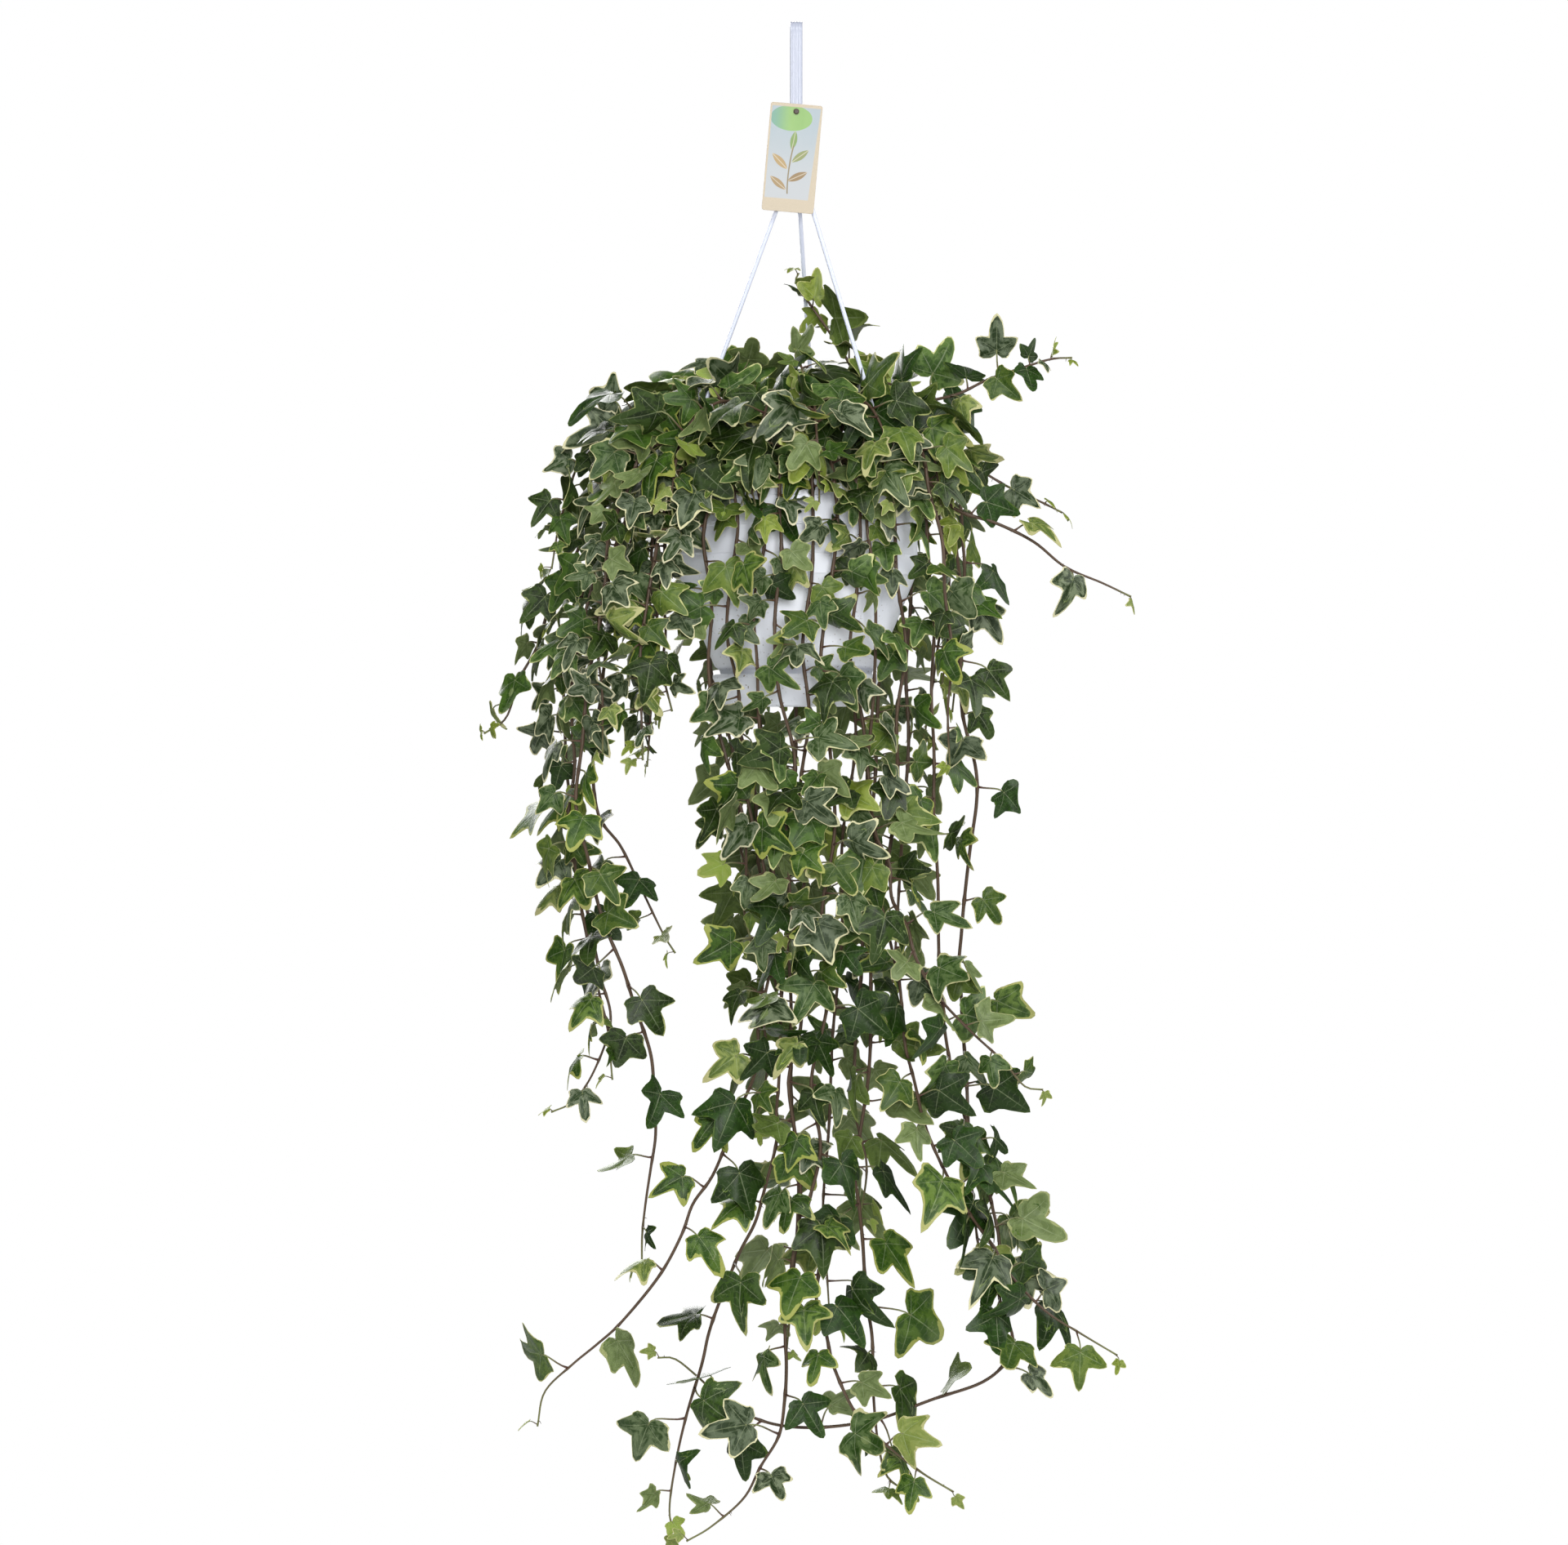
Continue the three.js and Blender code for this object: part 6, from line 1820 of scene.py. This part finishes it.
# %% Tag
TAG_WIDTH, TAG_HEIGHT, TAG_THICK, TAG_CORNER, TAG_BEVEL = 42, 88, 0.7, 2, 0.12
TAG_HOLE, TAG_HOLE_SIDES = 1.7, 24
TAG_HOLE_Z, TAG_HOLE_BELOW_TOP, TAG_STANDOFF = -71.3, 6.2, 0.75
TAG_LEAN, TAG_TILT = math.radians(5), math.radians(3.4)
BARE_STRIP = 0.05


def round_rectangle(half, low, high, corner, steps=6):
    centres = [(half - corner, high - corner, 0), (-half + corner, high - corner, 90),
               (-half + corner, low + corner, 180), (half - corner, low + corner, 270)]
    points = []
    for x, y, start in centres:
        for a in np.radians(start + np.linspace(0, 90, steps + 1)):
            points.append((x + corner * math.cos(a), y + corner * math.sin(a)))
    return points


def flat_card(name, loops, thick):
    """A plate from closed loops of points; an inner loop is a hole."""
    drawing = bpy.data.curves.new(name, "CURVE")
    drawing.dimensions, drawing.fill_mode = "2D", "BOTH"
    drawing.extrude, drawing.bevel_depth = thick / 2 - TAG_BEVEL, TAG_BEVEL
    drawing.bevel_resolution = 1
    for loop in loops:
        spline = drawing.splines.new("POLY")
        spline.points.add(len(loop) - 1)
        for point, (x, y) in zip(spline.points, loop):
            point.co = (x, y, 0, 1)
        spline.use_cyclic_u = True
    holder = linked(name, drawing)
    made = solved(holder)
    bpy.data.objects.remove(holder)
    return made


tag_low = TAG_HOLE_BELOW_TOP - TAG_HEIGHT
card_edge = round_rectangle(TAG_WIDTH / 2 - TAG_BEVEL, tag_low + TAG_BEVEL, TAG_HOLE_BELOW_TOP - TAG_BEVEL,
                            TAG_CORNER)
hole_turn = np.arange(TAG_HOLE_SIDES) * -math.pi * 2 / TAG_HOLE_SIDES
hole_edge = [(TAG_HOLE * math.cos(a), TAG_HOLE * math.sin(a)) for a in hole_turn]
tag_mesh = flat_card("tag", [card_edge, hole_edge], TAG_THICK)
tag_places = tag_mesh.uv_layers.new(name="card")
for face in tag_mesh.polygons:
    for corner in face.loop_indices:
        x, y, _ = tag_mesh.vertices[tag_mesh.loops[corner].vertex_index].co
        height = (y - tag_low) / TAG_HEIGHT if face.normal.z > 0 else BARE_STRIP
        tag_places.data[corner].uv = (x / TAG_WIDTH + 0.5, height)
tag_back = -HOOK_RADIUS - STRAP_THICK - TAG_STANDOFF
lay = Matrix.Translation((0, tag_back, TAG_HOLE_Z)) @ Matrix.Rotation(-TAG_TILT, 4, "X")
lay = lay @ Matrix.Rotation(TAG_LEAN, 4, "Y") @ Matrix.Rotation(math.radians(90), 4, "X")
tag_mesh.transform(Matrix.Scale(MM, 4) @ lay @ Matrix.Translation((0, 0, TAG_THICK / 2)))
print("tag faces:", len(tag_mesh.polygons))

# %% [markdown]
# ## The tag's print
#
# The print is generic: a green patch at the top, a pale panel with a plain leafy sprig, and a bare beige
# border. It is drawn by arithmetic on the card's map. Each printed leaf is the room between two parabolas.

# %% The tag's print
CARD_SHAPE = TAG_HEIGHT / TAG_WIDTH
BEIGE_DARK, BEIGE_LIGHT = "a2957e", "b0a38d"
PANEL_LOW, PANEL_HIGH, RIB_PALE, STEM_BROWN = "9ea2a5", "89979e", "bdb6a3", "6e603b"
PATCH_BLUE, PATCH_DARK, PATCH_LIGHT = "5b8879", "6a9346", "7b9f54"

# Where the panel ends at its left, right, foot and top, and how much its right side leans
PANEL_ENDS, PANEL_LEAN = ((0.03, 0.04), (0.86, 0.85), (0.115, 0.125), (0.975, 0.965)), 0.12
LEAF_WIDTH, LEAF_EDGE, RIB, RIB_SHARE = 0.34, (0, 0.04), (0.05, 0.02), 0.6
BOW_FOOT, BOW, BOW_EDGE, BOW_ENDS = (0.45, 0.3), 0.6, (0.016, 0.01), ((0.16, 0.17), (0.62, 0.6))
PATCH_MIDDLE, PATCH_ACROSS, PATCH_UP, PATCH_EDGE = (0.42, 0.865), 2.5, 8.5, (1.04, 0.98)

# The leaves of the sprig: place across and up the card, tilt, half length and colour
SPRIG = [(0.27, 0.26, 2.5, 0.21, "866d3f"), (0.63, 0.33, 0.5, 0.22, "775d2f"),
         (0.27, 0.46, 2.4, 0.22, "937a48"), (0.65, 0.52, 0.7, 0.21, "6f783e"),
         (0.5, 0.66, 1.45, 0.2, "647f38")]


def paint_tag():
    card = Finish("tag_card")
    sheet = card.node("ShaderNodeUVMap", {"uv_map": "card"})
    u, v, _ = card.parts(sheet)
    fibre = card.noise(sheet, 60, detail=3)
    beige = card.mix(fibre, srgb(BEIGE_DARK), srgb(BEIGE_LIGHT))
    left_end, right_end, foot_end, top_end = PANEL_ENDS
    inside = u.step(*left_end) * (u + v * -PANEL_LEAN).step(*right_end)
    inside = inside * v.step(*foot_end) * v.step(*top_end)
    cloudy = card.noise(sheet, 4, detail=2)
    picture = card.mix(v.step(0.2, 0.9) * (0.6 + cloudy * 0.4), srgb(PANEL_LOW), srgb(PANEL_HIGH))
    for across, up, tilt, length, shade in SPRIG:
        right, above = u - across, (v - up) * CARD_SHAPE
        a = (right * math.cos(tilt) + above * math.sin(tilt)) / length
        b = (above * math.cos(tilt) - right * math.sin(tilt)) / length
        half_width = (1 - a * a) * LEAF_WIDTH
        blade = (half_width - b.absolute()).step(*LEAF_EDGE)
        rib = b.absolute().step(*RIB) * RIB_SHARE
        picture = card.mix(blade, picture, card.mix(rib, srgb(shade), srgb(RIB_PALE)))
    across, up = BOW_FOOT
    bow = (u - across - (v - up) * (v - up) * BOW).absolute()
    stem_share = bow.step(*BOW_EDGE) * v.step(*BOW_ENDS[0]) * v.step(*BOW_ENDS[1])
    picture = card.mix(stem_share, picture, srgb(STEM_BROWN))

    # A rounded patch behind the pin, from blue-green to green
    across, up = PATCH_MIDDLE
    patch = ((u - across) * PATCH_ACROSS).power(2.0) + ((v - up) * PATCH_UP).power(2.0)
    green = card.mix(cloudy, srgb(PATCH_DARK), srgb(PATCH_LIGHT))
    green = card.mix(u.step(0.02, 0.45), srgb(PATCH_BLUE), green)
    picture = card.mix(patch.step(*PATCH_EDGE), picture, green)
    colour = card.mix(inside, beige, picture)
    card.set(Base_Color=colour, Roughness=0.36 + fibre * 0.1)
    card.bump(fibre, 0.1, 0.0003)
    return card.material


place("care_tag", tag_mesh, paint_tag(), "tag_card", "tag")
print("tag placed, leaves on its sprig:", len(SPRIG))

# %% [markdown]
# ## The pin
#
# A brown push pin holds the card. Its head is a low dome, turned and then laid on its side, as the pot is
# turned, because a pin is round as well.

# %% Pin
PIN_HEAD, PIN_HEAD_HEIGHT, PIN_SHAFT, PIN_STEPS = 2.45, 1.1, 1.1, 24
PIN_DARK, PIN_LIGHT = (0.018, 0.009, 0.005), (0.05, 0.026, 0.014)
shaft_end = -HOOK_RADIUS + 0.5
shaft = shaft_end - (tag_back - TAG_THICK - GAP)
pin_profile = rounded([(0, 0), (PIN_SHAFT, 0, 0.3), (PIN_SHAFT, shaft, 0.1), (PIN_HEAD * 0.72, shaft, 0.2),
                       (PIN_HEAD, shaft + 0.3 * PIN_HEAD_HEIGHT, 0.4),
                       (PIN_HEAD * 0.8, shaft + PIN_HEAD_HEIGHT, 0.8), (0, shaft + PIN_HEAD_HEIGHT)])
pin_mesh = turned("pin", pin_profile, steps=PIN_STEPS)
pin_foot = Matrix.Translation((0, shaft_end * MM, TAG_HOLE_Z * MM))
pin_mesh.transform(pin_foot @ Matrix.Rotation(math.radians(90), 4, "X"))


def paint_pin():
    pin = Finish("pin_head")
    blotch = pin.noise(pin.here(), 700, detail=2)
    colour = pin.mix(blotch, PIN_DARK, PIN_LIGHT)
    pin.set(Base_Color=colour, Roughness=0.4 + blotch * 0.2)
    pin.bump(blotch, 0.2, 0.0002)
    return pin.material


place("push_pin", pin_mesh, paint_pin(), "pin_head", "tag_pin")
print("pin faces:", len(pin_mesh.polygons))

# %% [markdown]
# ## The end

# The dressed plant may stand only a little proud of the imported solids.

# %% The end
print("scene built")
